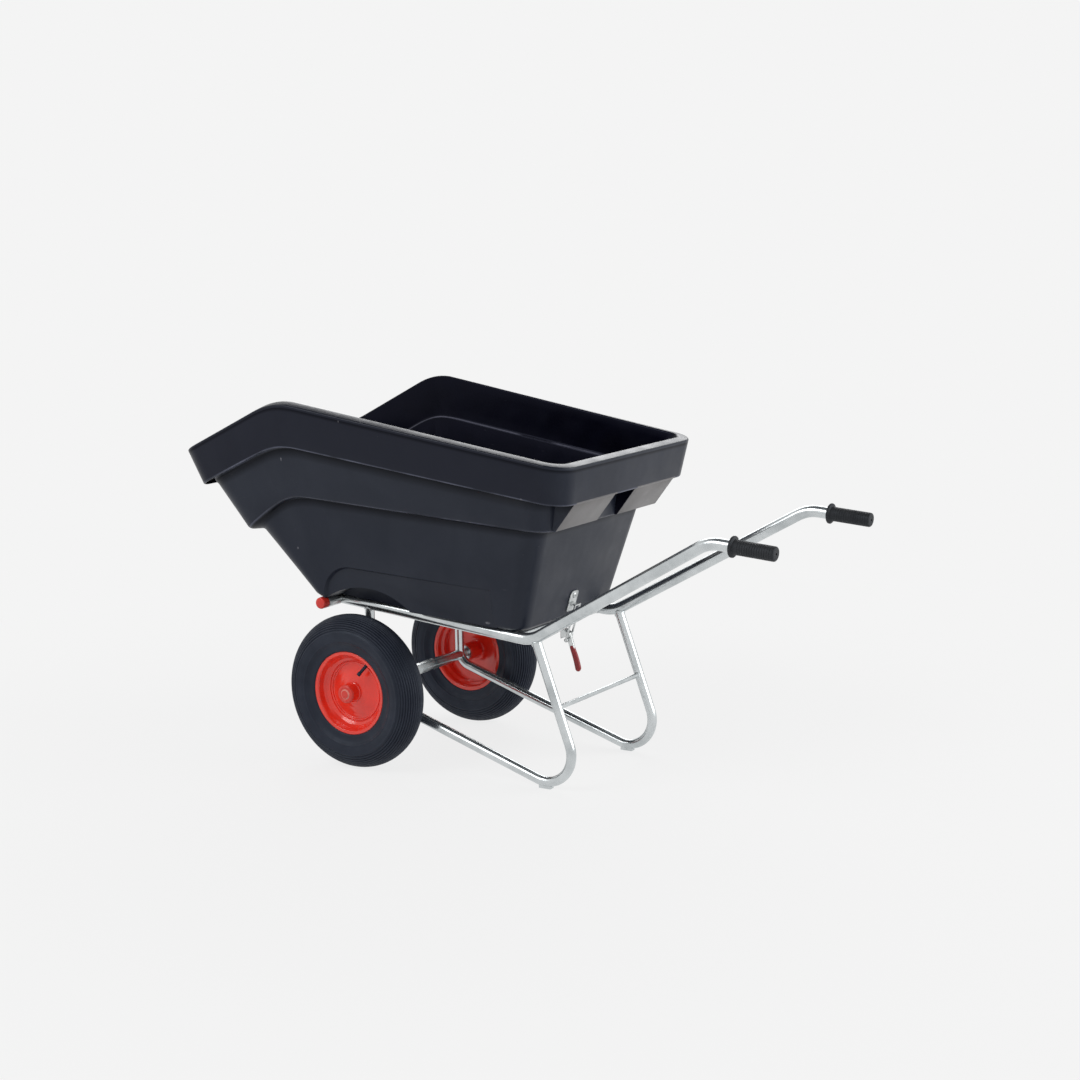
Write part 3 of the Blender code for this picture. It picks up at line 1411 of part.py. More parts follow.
def build_lever():
    """The latch's lever, its red grip, and the pin that carries the hook."""
    pivot, link = latch_places()
    middle = (pivot.x, pivot.z)
    way = (math.cos(LEVER_ANGLE), math.sin(LEVER_ANGLE))
    tip = (middle[0] + way[0] * LEVER_LENGTH, middle[1] + way[1] * LEVER_LENGTH)
    arm = round_plate(middle, LATCH_BOSS_RADIUS, tip, LEVER_WIDTH / 2)
    lever = add_piece("latch_lever", prism(arm, -LEVER_HALF, LEVER_HALF), ZINC, "latch_lever")
    bosses = [
        (pivot, LATCH_BOSS_RADIUS - 0.0004, LATCH_PIN_RADIUS, "pivot_boss"),
        (link, LINK_BOSS_RADIUS, LINK_PIN_RADIUS, "link_boss"),
    ]
    for place, radius, pin, name in bosses:
        boss = sweep(pin_path(place, BOSS_HALF), radius, sides=PIN_SIDES)
        boolean(lever, add_cutter(name, boss, "latch_lever"), "UNION")
    for place, radius, pin, name in bosses:
        hole = sweep(pin_path(place, 2 * BOSS_HALF), pin + PIN_GAP, sides=PIN_SIDES)
        boolean(lever, add_cutter(f"{name}_hole", hole, "latch_lever"), "DIFFERENCE")
    reach = BOSS_HALF + 2 * SEAT_GAP + EAR_THICK + SEAT_GAP + HOOK_ARM_WIDTH
    link_pin = sweep(pin_path(link, reach), LINK_PIN_RADIUS, sides=PIN_SIDES)
    add_piece("latch_link_pin", link_pin, ZINC, "latch_lever")
    start = (middle[0] + way[0] * GRIP_START, middle[1] + way[1] * GRIP_START)
    outer = round_plate(start, LEVER_GRIP_WIDTH / 2 - 0.0015, tip, LEVER_GRIP_WIDTH / 2)
    grip = add_piece("latch_grip", prism(outer, -LEVER_GRIP_HALF, LEVER_GRIP_HALF), LEVER_RED, "latch_lever")
    soften = grip.modifiers.new("edges", "BEVEL")
    soften.width = 0.003
    soften.segments = 2
    soften.limit_method = "ANGLE"
    slot = round_plate(middle, LATCH_BOSS_RADIUS + SEAT_GAP, tip, LEVER_WIDTH / 2 + SEAT_GAP)
    pocket = prism(slot, -LEVER_HALF - SEAT_GAP, LEVER_HALF + SEAT_GAP)
    boolean(grip, add_cutter("grip_pocket", pocket, "latch_lever"), "DIFFERENCE")


def build_hook():
    """The latch's hook: two arms on the link pin, joined by a bar with a nose over the keeper."""
    _, link = latch_places()
    foot, up, out = rear_wall()
    link_out = (link - foot).dot(out)
    link_up = (link - foot).dot(up)
    near = link_out - HOOK_THICK / 2
    far = link_out + HOOK_THICK / 2
    bar_low = LIP_AT + LIP_THICK + HOOK_NOSE_GAP
    bar_high = bar_low + NOSE_HEIGHT
    inner = BOSS_HALF + SEAT_GAP + EAR_THICK + 2 * SEAT_GAP
    outer = inner + HOOK_ARM_WIDTH
    bar = [
        wall_point(near - HOOK_LIP_GAP - NOSE_BITE, bar_low),
        wall_point(far, bar_low),
        wall_point(far, bar_high),
        wall_point(near - HOOK_LIP_GAP - NOSE_BITE, bar_high),
    ]
    piece = add_piece("latch_hook", prism(bar, -outer, outer), ZINC, "latch_hook", smooth=False)
    arm = [
        wall_point(near, link_up),
        wall_point(far, link_up),
        wall_point(far, bar_high - NOSE_HEIGHT / 2),
        wall_point(near, bar_high - NOSE_HEIGHT / 2),
    ]
    arms = merge(prism(arm, inner, outer), prism(arm, -outer, -inner))
    eye_ring = arc((link.x, link.z), EYE_RADIUS, 0, 2 * math.pi * (1 - 1 / PIN_SIDES), PIN_SIDES - 1)
    eyes = merge(prism(eye_ring, inner, outer), prism(eye_ring, -outer, -inner))
    hole = sweep(pin_path(link, 2 * outer), LINK_PIN_RADIUS + PIN_GAP, sides=PIN_SIDES)
    boolean(piece, add_cutter("hook_arms", arms, "latch_hook"), "UNION")
    boolean(piece, add_cutter("hook_eyes", eyes, "latch_hook"), "UNION")
    boolean(piece, add_cutter("hook_hole", hole, "latch_hook"), "DIFFERENCE")


def main():
    """Build the cart."""
    clear_scene()
    names = (("left", -1), ("right", 1))
    pivot, link = latch_places()
    add_body("frame", (0, 0, 0))
    add_body("tub", (PIVOT_X, 0, PIVOT_Z), "frame")
    add_body("latch_lever", pivot, "frame")
    add_body("latch_hook", link, "latch_lever")
    for name, side in names:
        add_body(f"wheel_{name}", (0, side * TRACK_HALF, WHEEL_RADIUS), "frame")
    side_copes = build_side_tubes(names)
    leg_copes = build_leg_tubes(names, side_copes)
    build_cross_members(side_copes, leg_copes)
    build_foot_pads(names, leg_copes)
    build_end_caps(names)
    build_grips(names)
    build_axle(names)
    build_wheels(names)
    build_tub(names)
    build_hinges(names)
    build_keeper()
    build_latch_base()
    build_lever()
    build_hook()


main()
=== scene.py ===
"""Looks of a two-wheeled tipping yard barrow: a stepped poly tub on a galvanised tube frame.

Lengths are metres. The drawing frame has X towards the handles, Y towards the cart's right side
and Z up, with x = 0 at the wheel axle and z = 0 on the ground. Shop.deliver takes a piece from there
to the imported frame.
"""

import json
import logging
import math
from collections.abc import Iterator, Sequence
from contextlib import contextmanager
from dataclasses import dataclass, replace
from enum import Enum
from typing import NamedTuple

import bmesh
import bpy
from mathutils import Matrix, Vector

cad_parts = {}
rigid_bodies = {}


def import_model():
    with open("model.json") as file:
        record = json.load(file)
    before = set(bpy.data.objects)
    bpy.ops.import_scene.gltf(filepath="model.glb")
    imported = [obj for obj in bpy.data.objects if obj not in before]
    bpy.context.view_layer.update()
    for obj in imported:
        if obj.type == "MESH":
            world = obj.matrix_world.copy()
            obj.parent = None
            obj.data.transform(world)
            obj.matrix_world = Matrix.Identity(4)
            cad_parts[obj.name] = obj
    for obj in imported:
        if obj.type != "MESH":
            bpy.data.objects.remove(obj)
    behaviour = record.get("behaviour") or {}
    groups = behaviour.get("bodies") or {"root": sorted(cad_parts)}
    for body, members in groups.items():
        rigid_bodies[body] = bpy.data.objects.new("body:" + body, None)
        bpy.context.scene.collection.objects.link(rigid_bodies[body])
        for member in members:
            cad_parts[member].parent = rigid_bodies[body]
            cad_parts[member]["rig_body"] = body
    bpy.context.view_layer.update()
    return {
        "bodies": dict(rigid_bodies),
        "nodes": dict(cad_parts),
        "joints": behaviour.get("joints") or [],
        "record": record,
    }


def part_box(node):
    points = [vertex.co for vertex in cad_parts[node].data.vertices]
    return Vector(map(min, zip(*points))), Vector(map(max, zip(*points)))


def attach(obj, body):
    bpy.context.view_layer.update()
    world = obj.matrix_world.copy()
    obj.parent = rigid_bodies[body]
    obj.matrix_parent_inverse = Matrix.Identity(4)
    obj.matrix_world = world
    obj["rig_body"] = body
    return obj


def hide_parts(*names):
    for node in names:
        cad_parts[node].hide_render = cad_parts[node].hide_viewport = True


Piece = bpy.types.Object
Socket = bpy.types.NodeSocket
Point = tuple[float, float]
Triple = tuple[float, float, float]

LOG = logging.getLogger("barrow")
UP = Vector((0, 0, 1))
SAME_POINT = 1e-5
# The colour sockets of a Mix node, by their numbers.
MIX_FIRST, MIX_SECOND, MIX_RESULT = 6, 7, 2


class Side(Enum):
    """The cart's two sides, with the sign of their Y."""

    LEFT = -1
    RIGHT = 1

    @property
    def word(self) -> str:
        """The side's name, as pieces carry it."""
        return self.name.lower()


class Slot(Enum):
    """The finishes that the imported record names."""

    GALVANISED = "galvanised_steel"
    ZINC = "zinc_steel"
    TUB = "black_polyethylene"
    TYRE = "tyre_rubber"
    INNER_TUBE = "inner_tube_rubber"
    GRIP = "grip_rubber"
    ENAMEL = "red_enamel"
    CAP = "red_plastic"
    LEVER = "dark_red_plastic"
    BEARING = "bearing_steel"


# Modelling helpers: rings, lofts, lathe work, joins, cuts and rounded edges.


def pick(piece: Piece) -> None:
    """Selects one object alone and makes it the active one."""
    bpy.ops.object.select_all(action="DESELECT")
    bpy.context.view_layer.objects.active = piece
    piece.select_set(True)


def named(name: str) -> Piece:
    """The object that was just added, under its own name."""
    piece = bpy.context.active_object
    piece.name = piece.data.name = name
    return piece


@contextmanager
def edit_mode(piece: Piece, select: str = "DESELECT") -> Iterator[bmesh.types.BMesh]:
    """Edit mode on one piece.

    Args:
        piece: The mesh object to edit.
        select: SELECT or DESELECT, for the whole mesh at the start.

    Returns:
        The piece's edit mesh, for selecting faces and edges in code.
    """
    pick(piece)
    bpy.ops.object.mode_set(mode="EDIT")
    bpy.ops.mesh.select_mode(type="VERT")
    bpy.ops.mesh.select_all(action=select)
    yield bmesh.from_edit_mesh(piece.data)
    bpy.ops.object.mode_set(mode="OBJECT")


def turn_outwards(merge: bool) -> None:
    """In edit mode, merges doubled points if asked and points all normals outwards."""
    bpy.ops.mesh.select_all(action="SELECT")
    if merge:
        bpy.ops.mesh.remove_doubles(threshold=SAME_POINT)
    bpy.ops.mesh.normals_make_consistent(inside=False)


def start_ring(name: str, points: Sequence[Vector], fill: str) -> Piece:
    """Adds a circle and sets its vertices on the given points.

    Args:
        name: The piece's name.
        points: The ring's points, in order.
        fill: NGON to give the ring a face, or NOTHING.

    Returns:
        The new piece, whose vertices remember their place in the ring.
    """
    bpy.ops.object.select_all(action="DESELECT")
    bpy.ops.mesh.primitive_circle_add(vertices=len(points), radius=1.0, fill_type=fill, location=(0, 0, 0))
    piece = named(name)
    with edit_mode(piece) as mesh:
        column = mesh.verts.layers.int.new("column")
        mesh.verts.ensure_lookup_table()
        for index, point in enumerate(points):
            mesh.verts[index].co = point
            mesh.verts[index][column] = index
        bmesh.update_edit_mesh(piece.data)
    return piece


def loft(name: str, rings: Sequence[Sequence[Vector]]) -> Piece:
    """A closed solid extruded from ring to ring.

    Args:
        name: The piece's name.
        rings: Rings of the same count, each a list of points.

    Returns:
        The new piece, with both ends filled. Its vertices remember the number of their ring.
    """
    piece = start_ring(name, rings[0], "NGON")
    with edit_mode(piece, "SELECT"):
        for row, ring in enumerate(rings[1:], start=1):
            bpy.ops.mesh.extrude_region_move(TRANSFORM_OT_translate={"value": (0, 0, 0)})
            mesh = bmesh.from_edit_mesh(piece.data)
            column = mesh.verts.layers.int["column"]
            rows = mesh.verts.layers.int.get("row") or mesh.verts.layers.int.new("row")
            for vert in mesh.verts:
                if vert.select:
                    vert.co = ring[vert[column]]
                    vert[rows] = row
            bmesh.update_edit_mesh(piece.data)
        turn_outwards(merge=False)
    return piece


def lathe(name: str, profile: Sequence[Point], place: Matrix, steps: int) -> Piece:
    """A closed solid of revolution, spun from a ring of vertices.

    Args:
        name: The piece's name.
        profile: Points (along, radius) round the section. It may start and end on the axis.
        place: The placement whose Z is the axis.
        steps: How many steps the spin takes.

    Returns:
        The new piece.
    """
    piece = start_ring(name, [place @ Vector((radius, 0, along)) for along, radius in profile], "NOTHING")
    axis = (place.to_3x3() @ UP).normalized()
    with edit_mode(piece) as mesh:
        if profile[0][1] == 0.0 and profile[-1][1] == 0.0:
            mesh.verts.ensure_lookup_table()
            ends = {mesh.verts[0], mesh.verts[-1]}
            chord = [edge for edge in mesh.edges if set(edge.verts) == ends]
            bmesh.ops.delete(mesh, geom=chord, context="EDGES_FACES")
            bmesh.update_edit_mesh(piece.data)
        bpy.ops.mesh.select_all(action="SELECT")
        bpy.ops.mesh.spin(steps=steps, angle=2 * math.pi, center=place.translation, axis=axis)
        turn_outwards(merge=True)
    return piece


def apply_modifiers(piece: Piece) -> None:
    """Applies every modifier of a piece, in order."""
    pick(piece)
    for modifier in list(piece.modifiers):
        bpy.ops.object.modifier_apply(modifier=modifier.name)


def combine(piece: Piece, helper: Piece, operation: str) -> None:
    """Cuts a helper from a piece or joins it on, and removes the helper.

    Args:
        piece: The piece to change.
        helper: The helper solid.
        operation: UNION or DIFFERENCE.
    """
    step = piece.modifiers.new(helper.name, "BOOLEAN")
    step.object = helper
    step.operation = operation
    step.solver = "EXACT"
    apply_modifiers(piece)
    bpy.data.objects.remove(helper, do_unlink=True)


def bevel(piece: Piece, width: float, segments: int, angle: float) -> None:
    """Rounds every edge of a piece that is sharper than an angle.

    Args:
        piece: The piece to change.
        width: How far the round reaches along each face.
        segments: The steps of the round.
        angle: The angle in degrees.
    """
    step = piece.modifiers.new("round", "BEVEL")
    step.width = width
    step.segments = segments
    step.limit_method = "ANGLE"
    step.angle_limit = math.radians(angle)
    apply_modifiers(piece)


def fillet(points: Sequence[Vector], radii: Sequence[float], steps: int) -> list[Vector]:
    """Rounds the inner corners of an open line.

    Args:
        points: The line's corners.
        radii: One radius for each inner corner.
        steps: The steps of each arc.

    Returns:
        The line's points, with an arc at each corner that has a radius.
    """
    made = [points[0].copy()]
    for index, radius in enumerate(radii, start=1):
        corner = points[index]
        before = (corner - points[index - 1]).normalized()
        after = (points[index + 1] - corner).normalized()
        turn = before.angle(after)
        if radius == 0.0 or turn < 1e-4:
            made.append(corner.copy())
            continue
        centre = corner + (after - before).normalized() * radius / math.cos(turn / 2)
        start = corner - before * radius * math.tan(turn / 2) - centre
        axis = before.cross(after).normalized()
        made += [centre + Matrix.Rotation(turn * k / steps, 3, axis) @ start for k in range(steps + 1)]
    made.append(points[-1].copy())
    return made


def soft_profile(corners: Sequence[Triple], steps: int) -> list[Point]:
    """A lathe profile with rounded corners.

    Args:
        corners: (along, radius, rounding) for each corner. The ends are never rounded.
        steps: The steps of each rounding.

    Returns:
        Points (along, radius).
    """
    line = [Vector((along, radius, 0.0)) for along, radius, _ in corners]
    made = fillet(line, [rounding for _, _, rounding in corners[1:-1]], steps)
    return [(point.x, max(0.0, point.y)) for point in made]


def soft_loop(corners: Sequence[Triple], steps: int) -> list[Point]:
    """A closed outline with every corner rounded.

    Args:
        corners: (first, second, rounding) for each corner.
        steps: The steps of each rounding.

    Returns:
        Points of the closed outline, with no point given twice.
    """
    first, second = corners[0], corners[-1]
    middle = ((first[0] + second[0]) / 2, (first[1] + second[1]) / 2, 0.0)
    return soft_profile([middle, *corners, middle], steps)[:-1]


def pointing(origin: Vector, direction: Vector) -> Matrix:
    """A placement that puts Z along a direction."""
    return Matrix.Translation(origin) @ direction.normalized().to_track_quat("Z", "Y").to_matrix().to_4x4()


def arc(centre: Point, radius: float, start: float, end: float, steps: int) -> list[Point]:
    """Points of an arc in the side view, from one angle to another."""
    turns = [start + (end - start) * k / steps for k in range(steps + 1)]
    return [(centre[0] + radius * math.cos(turn), centre[1] + radius * math.sin(turn)) for turn in turns]


# Finishes: a procedural material for each slot of the record.


def add_node(
    tree: bpy.types.NodeTree, kind: str, inputs: dict | None = None, **options: str
) -> bpy.types.Node:
    """Adds a shader node and fills its inputs.

    Args:
        tree: The node tree.
        kind: The node's type, without the word ShaderNode.
        inputs: For an input's name or number, the socket that feeds it or its plain value.
        options: The node's own settings.

    Returns:
        The node.
    """
    node = tree.nodes.new(f"ShaderNode{kind}")
    for name, value in options.items():
        setattr(node, name, value)
    for name, value in (inputs or {}).items():
        if isinstance(value, Socket):
            tree.links.new(value, node.inputs[name])
        else:
            node.inputs[name].default_value = value
    return node


class Recipe:
    """A material's nodes, added and linked by short calls."""

    def __init__(self, name: str) -> None:
        """Starts a material with one Principled shader.

        Args:
            name: The material's name.
        """
        self.material = bpy.data.materials.new(name)
        self.material.use_nodes = True
        self.shader = self.material.node_tree.nodes["Principled BSDF"]
        self.place = self.add("TexCoord").outputs["Object"]
        self.axes = self.add("SeparateXYZ", {0: self.place}).outputs

    def add(self, kind: str, inputs: dict | None = None, **options: str) -> bpy.types.Node:
        """Adds a node to the material, as add_node does."""
        return add_node(self.material.node_tree, kind, inputs, **options)

    def stretched(self, stretch: Triple) -> Socket:
        """Object coordinates scaled along each axis."""
        return self.add("Mapping", {"Scale": stretch, "Vector": self.place}).outputs["Vector"]

    def noise(
        self, scale: float, detail: float, stretch: Triple = (1, 1, 1), distortion: float = 0.0
    ) -> Socket:
        """A noise over the object.

        Args:
            scale: Cells to the metre.
            detail: Octaves of finer noise.
            stretch: How the noise is scaled along each axis.
            distortion: How far it is warped.

        Returns:
            The noise's value socket.
        """
        inputs = {"Scale": scale, "Detail": detail, "Distortion": distortion}
        return self.add("TexNoise", {**inputs, "Vector": self.stretched(stretch)}).outputs["Fac"]

    def cells(self, scale: float) -> Socket:
        """The distance from the middles of cells, with so many to the metre."""
        inputs = {"Scale": scale, "Vector": self.stretched((1, 1, 1))}
        return self.add("TexVoronoi", inputs).outputs["Distance"]

    def ramp(self, value: Socket, low: tuple[float, Triple], high: tuple[float, Triple]) -> Socket:
        """Colours along a value, from one (position, colour) to another."""
        node = self.add("ValToRGB", {"Fac": value})
        for element, (position, colour) in zip(node.color_ramp.elements, (low, high)):
            element.position = position
            element.color = (*colour, 1.0)
        return node.outputs["Color"]

    def spread(self, value: Socket, low: float, high: float, start: float = 0.0, end: float = 1.0) -> Socket:
        """A value mapped from one range to another.

        Args:
            value: The socket to map.
            low: What the start of the range becomes.
            high: What the end of the range becomes.
            start: The start of the range.
            end: The end of the range.

        Returns:
            The mapped value's socket.
        """
        limits = {"From Min": start, "From Max": end, "To Min": low, "To Max": high}
        return self.add("MapRange", {**limits, "Value": value}).outputs["Result"]

    def math(self, operation: str, first: Socket, second: Socket | float = 0.0) -> Socket:
        """The result of a Math node on one or two values."""
        return self.add("Math", {0: first, 1: second}, operation=operation).outputs[0]

    def times(self, first: Socket, second: Socket | float) -> Socket:
        """One value times another."""
        return self.math("MULTIPLY", first, second)

    def blend(self, share: Socket, first: Socket, second: Triple) -> Socket:
        """A colour that turns into another as a share goes from 0 to 1.

        Args:
            share: The share's socket.
            first: The colour at 0.
            second: The colour at 1.

        Returns:
            The colour socket.
        """
        inputs = {"Factor": share, MIX_FIRST: first, MIX_SECOND: (*second, 1.0)}
        return self.add("Mix", inputs, data_type="RGBA").outputs[MIX_RESULT]

    def bump(self, height: Socket, distance: float, strength: float) -> None:
        """Adds a bump over those that the shader already has.

        Args:
            height: The height's socket, from 0 to 1.
            distance: How high 1 is, in metres.
            strength: The bump's share.
        """
        inputs = {"Distance": distance, "Strength": strength, "Height": height}
        for link in self.shader.inputs["Normal"].links:
            inputs["Normal"] = link.from_socket
        self.feed("Normal", self.add("Bump", inputs).outputs["Normal"])

    def set(self, **values: float | Sequence[float]) -> None:
        """Sets plain numbers on the shader, by socket names with _ for spaces."""
        for name, value in values.items():
            self.shader.inputs[name.replace("_", " ")].default_value = value

    def feed(self, name: str, source: Socket) -> None:
        """Links a socket to one of the shader's inputs."""
        self.material.node_tree.links.new(source, self.shader.inputs[name])


@dataclass(frozen=True)
class Galvanised:
    """Hot-dip galvanised tube: bright, with a soft spangle and greyer patches."""

    name: str = "galvanised_tube"
    dark: Triple = (0.47, 0.50, 0.51)
    light: Triple = (0.62, 0.65, 0.66)
    fleck: Triple = (0.34, 0.37, 0.38)
    roughness: Point = (0.15, 0.26)

    def make(self) -> bpy.types.Material:
        """The finish as a material."""
        recipe = Recipe(self.name)
        patches = recipe.noise(14.0, 3.0, distortion=0.4)
        colour = recipe.ramp(patches, (0.32, self.dark), (0.60, self.light))
        spangle = recipe.spread(recipe.cells(170.0), 0.0, 1.0, 0.35, 0.85)
        flecks = recipe.times(spangle, recipe.spread(recipe.noise(34.0, 2.0), 0.0, 0.3, 0.48, 0.72))
        recipe.feed("Base Color", recipe.blend(flecks, colour, self.fleck))
        recipe.feed("Roughness", recipe.spread(recipe.noise(48.0, 3.0), *self.roughness, 0.3, 0.7))
        recipe.bump(recipe.noise(170.0, 2.0), 0.00006, 0.30)
        recipe.bump(recipe.noise(22.0, 2.0), 0.0005, 0.15)
        recipe.set(Metallic=0.94)
        return recipe.material


@dataclass(frozen=True)
class ZincPlate:
    """Electroplated zinc: smooth, slightly bluish, with faint rub marks."""

    name: str = "zinc_plate"
    dark: Triple = (0.52, 0.54, 0.54)
    light: Triple = (0.66, 0.68, 0.68)
    roughness: Point = (0.24, 0.40)

    def make(self) -> bpy.types.Material:
        """The finish as a material."""
        recipe = Recipe(self.name)
        wear = recipe.noise(90.0, 5.0, distortion=0.4)
        recipe.feed("Base Color", recipe.ramp(wear, (0.30, self.dark), (0.60, self.light)))
        recipe.feed("Roughness", recipe.spread(recipe.noise(220.0, 3.0, (1, 1, 6)), *self.roughness))
        recipe.bump(recipe.noise(500.0, 2.0), 0.0001, 0.3)
        recipe.set(Metallic=0.92)
        return recipe.material


@dataclass(frozen=True)
class Mark:
    """One worn place: its middle and its half sizes along each axis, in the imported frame."""

    at: Triple
    half: Triple
    square: bool = False

    def share(self, recipe: Recipe, firmness: float) -> Socket:
        """A share that is 1 over the firm part of the mark and falls to 0 at its edge."""
        return recipe.spread(self.reach(recipe), 1.0, 0.0, firmness, 1.0)

    def reach(self, recipe: Recipe) -> Socket:
        """How far a point is from the mark's middle, where 1 is its edge."""
        inputs = {"Location": self.at, "Scale": self.half, "Vector": recipe.place}
        vector = recipe.add("Mapping", inputs, vector_type="TEXTURE").outputs["Vector"]
        if not self.square:
            return recipe.add("VectorMath", {0: vector}, operation="LENGTH").outputs["Value"]
        sizes = recipe.add("VectorMath", {0: vector}, operation="ABSOLUTE").outputs["Vector"]
        axes = recipe.add("SeparateXYZ", {0: sizes}).outputs
        return recipe.math("MAXIMUM", recipe.math("MAXIMUM", axes["X"], axes["Y"]), axes["Z"])


@dataclass(frozen=True)
class Lip:
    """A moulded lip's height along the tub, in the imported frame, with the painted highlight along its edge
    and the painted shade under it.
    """

    front: Point
    peak: Point
    rear: Point
    rubbed: float = 1.0
    grime: float = 0.030
    half: float = 0.0030
    blend: float = 0.060

    def below(self, recipe: Recipe) -> Socket:
        """How far a point lies below the lip, in metres."""
        runs, slopes = [], []
        for start, end in ((self.front, self.peak), (self.peak, self.rear)):
            slope = (end[1] - start[1]) / (end[0] - start[0])
            run = recipe.times(recipe.axes["X"], slope)
            runs.append(recipe.math("ADD", run, start[1] - slope * start[0]))
            slopes.append(slope)
        inputs = {0: runs[0], 1: runs[1], 2: 1.5 * (slopes[0] - slopes[1]) * self.blend}
        height = recipe.add("Math", inputs, operation="SMOOTH_MIN").outputs[0]
        return recipe.math("SUBTRACT", height, recipe.axes["Z"])


@dataclass(frozen=True)
class Polyethylene:
    """Rotomoulded black polyethylene: satin, a little wavy, with pale scuffs, painted reflection on the lugs,
    painted highlights along its lips and painted shade under them and on the rim's band.
    """

    name: str = "tub_polyethylene"
    deep: Triple = (0.0072, 0.0094, 0.0185)
    worn: Triple = (0.0140, 0.0168, 0.0275)
    scuff: Triple = (0.17, 0.17, 0.19)
    # The next four colours are painted light: a painted reflection on the lugs' sloped faces, a painted
    # highlight along each lip's edge, painted shade under the lips and painted shade on the rim's band.
    handled: Triple = (0.150, 0.142, 0.140)
    lip: Triple = (0.090, 0.096, 0.135)
    grime: Triple = (0.0016, 0.0018, 0.0038)
    clean: Triple = (0.0045, 0.0048, 0.0125)
    tint: Triple = (0.86, 0.92, 1.0)
    roughness: Point = (0.30, 0.42)
    shine: float = 0.30
    marks: tuple[Mark, ...] = ()
    wear: tuple[Mark, ...] = ()
    lips: tuple[Lip, ...] = ()
    band: Lip | None = None

    def make(self) -> bpy.types.Material:
        """The finish as a material."""
        recipe = Recipe(self.name)
        cloud = recipe.noise(7.0, 5.0, distortion=0.5)
        colour = recipe.ramp(cloud, (0.32, self.deep), (0.72, self.worn))
        # Painted shade on the rim's band, then painted highlight lines and painted shade at the lips.
        colour, shine = self.add_band(recipe, colour)
        colour, shine = self.add_lips(recipe, colour, shine)
        # Painted reflection: the lugs' sloped faces are made lighter.
        for mark in self.wear:
            rubbed = recipe.times(mark.share(recipe, 0.97), recipe.spread(cloud, 0.75, 1.0))
            colour = recipe.blend(rubbed, colour, self.handled)
        scuffs = self.scuffs(recipe)
        recipe.feed("Base Color", recipe.blend(scuffs, colour, self.scuff))
        recipe.set(Specular_Tint=(*self.tint, 1.0), IOR=1.50)
        if shine:
            recipe.feed("Specular IOR Level", shine)
        else:
            recipe.set(Specular_IOR_Level=self.shine)
        rough = recipe.spread(recipe.noise(14.0, 4.0), *self.roughness, 0.3, 0.7)
        recipe.feed("Roughness", recipe.math("ADD", rough, recipe.spread(scuffs, 0.0, 0.2)))
        recipe.bump(recipe.noise(8.0, 2.0), 0.0040, 0.5)
        recipe.bump(recipe.noise(900.0, 2.0), 0.00010, 0.30)
        return recipe.material

    def scuffs(self, recipe: Recipe) -> Socket:
        """The share of pale scuffs: thin streaks in a few patches, and the single marks."""
        streak = recipe.spread(recipe.noise(60.0, 2.0, (0.35, 1.0, 3.2), 0.8), 0.0, 1.0, 0.70, 0.78)
        share = recipe.times(streak, recipe.spread(recipe.noise(5.5, 2.0), 0.0, 1.0, 0.60, 0.72))
        ragged = recipe.spread(recipe.noise(420.0, 3.0), 0.0, 1.0, 0.36, 0.52)
        for mark in self.marks:
            share = recipe.math("MAXIMUM", share, recipe.times(mark.share(recipe, 0.35), ragged))
        return share

    def add_band(self, recipe: Recipe, colour: Socket) -> tuple[Socket, Socket | None]:
        """Paints shade on the rim's band, above its lip and ahead of the rear corner.

        Args:
            recipe: The material's nodes.
            colour: The colour so far.

        Returns:
            The new colour and, where there is a band, the shine that goes with it.
        """
        if not self.band:
            return colour, None
        # Painted shade: darker and less glossy on the sides and front, not at the rear.
        above = recipe.spread(self.band.below(recipe), 0.70, 0.0, -0.004, -0.001)
        above = recipe.times(above, recipe.spread(recipe.axes["X"], 1.0, 0.0, 0.235, 0.300))
        return recipe.blend(above, colour, self.clean), recipe.spread(above, self.shine, self.shine * 0.62)

    def add_lips(self, recipe: Recipe, colour: Socket, shine: Socket | None) -> tuple[Socket, Socket | None]:
        """Adds a painted highlight line along each lip and painted shade under it, darker and less glossy.

        Args:
            recipe: The material's nodes.
            colour: The colour so far.
            shine: The shine so far, if it varies.

        Returns:
            The new colour and shine.
        """
        patchy = recipe.spread(recipe.noise(11.0, 4.0, (1.0, 1.0, 0.2)), 0.12, 1.0, 0.36, 0.60)
        for lip in self.lips:
            below = lip.below(recipe)
            # Painted shade under the lip: darker and less glossy.
            under = recipe.spread(below, 0.0, 1.0, 0.0015, 0.0045)
            under = recipe.times(under, recipe.spread(below, 0.85, 0.0, 0.004, lip.grime))
            colour = recipe.blend(under, colour, self.grime)
            if shine:
                shine = recipe.times(shine, recipe.spread(under, 1.0, 0.25))
            # Painted highlight along the lip's edge.
            off = recipe.math("ABSOLUTE", recipe.math("ADD", below, lip.half / 2))
            edge = recipe.spread(off, lip.rubbed, 0.0, lip.half * 0.35, lip.half)
            colour = recipe.blend(recipe.times(edge, patchy), colour, self.lip)
        return colour, shine


@dataclass(frozen=True)
class Rubber:
    """Black rubber with dust in its pores."""

    name: str
    base: Triple = (0.0080, 0.0100, 0.0185)
    dust: Triple = (0.018, 0.0215, 0.034)
    roughness: Point = (0.42, 0.58)
    tint: Triple = (0.76, 0.86, 1.0)

    def make(self) -> bpy.types.Material:
        """The finish as a material."""
        recipe = Recipe(self.name)
        cloud = recipe.noise(16.0, 6.0, distortion=0.4)
        recipe.feed("Base Color", recipe.ramp(cloud, (0.35, self.base), (0.80, self.dust)))
        recipe.feed("Roughness", recipe.spread(recipe.noise(40.0, 4.0), *self.roughness, 0.3, 0.7))
        recipe.bump(recipe.noise(700.0, 3.0), 0.00015, 0.5)
        recipe.bump(recipe.noise(24.0, 2.0), 0.0008, 0.3)
        recipe.set(Specular_IOR_Level=0.33, Specular_Tint=(*self.tint, 1.0))
        return recipe.material


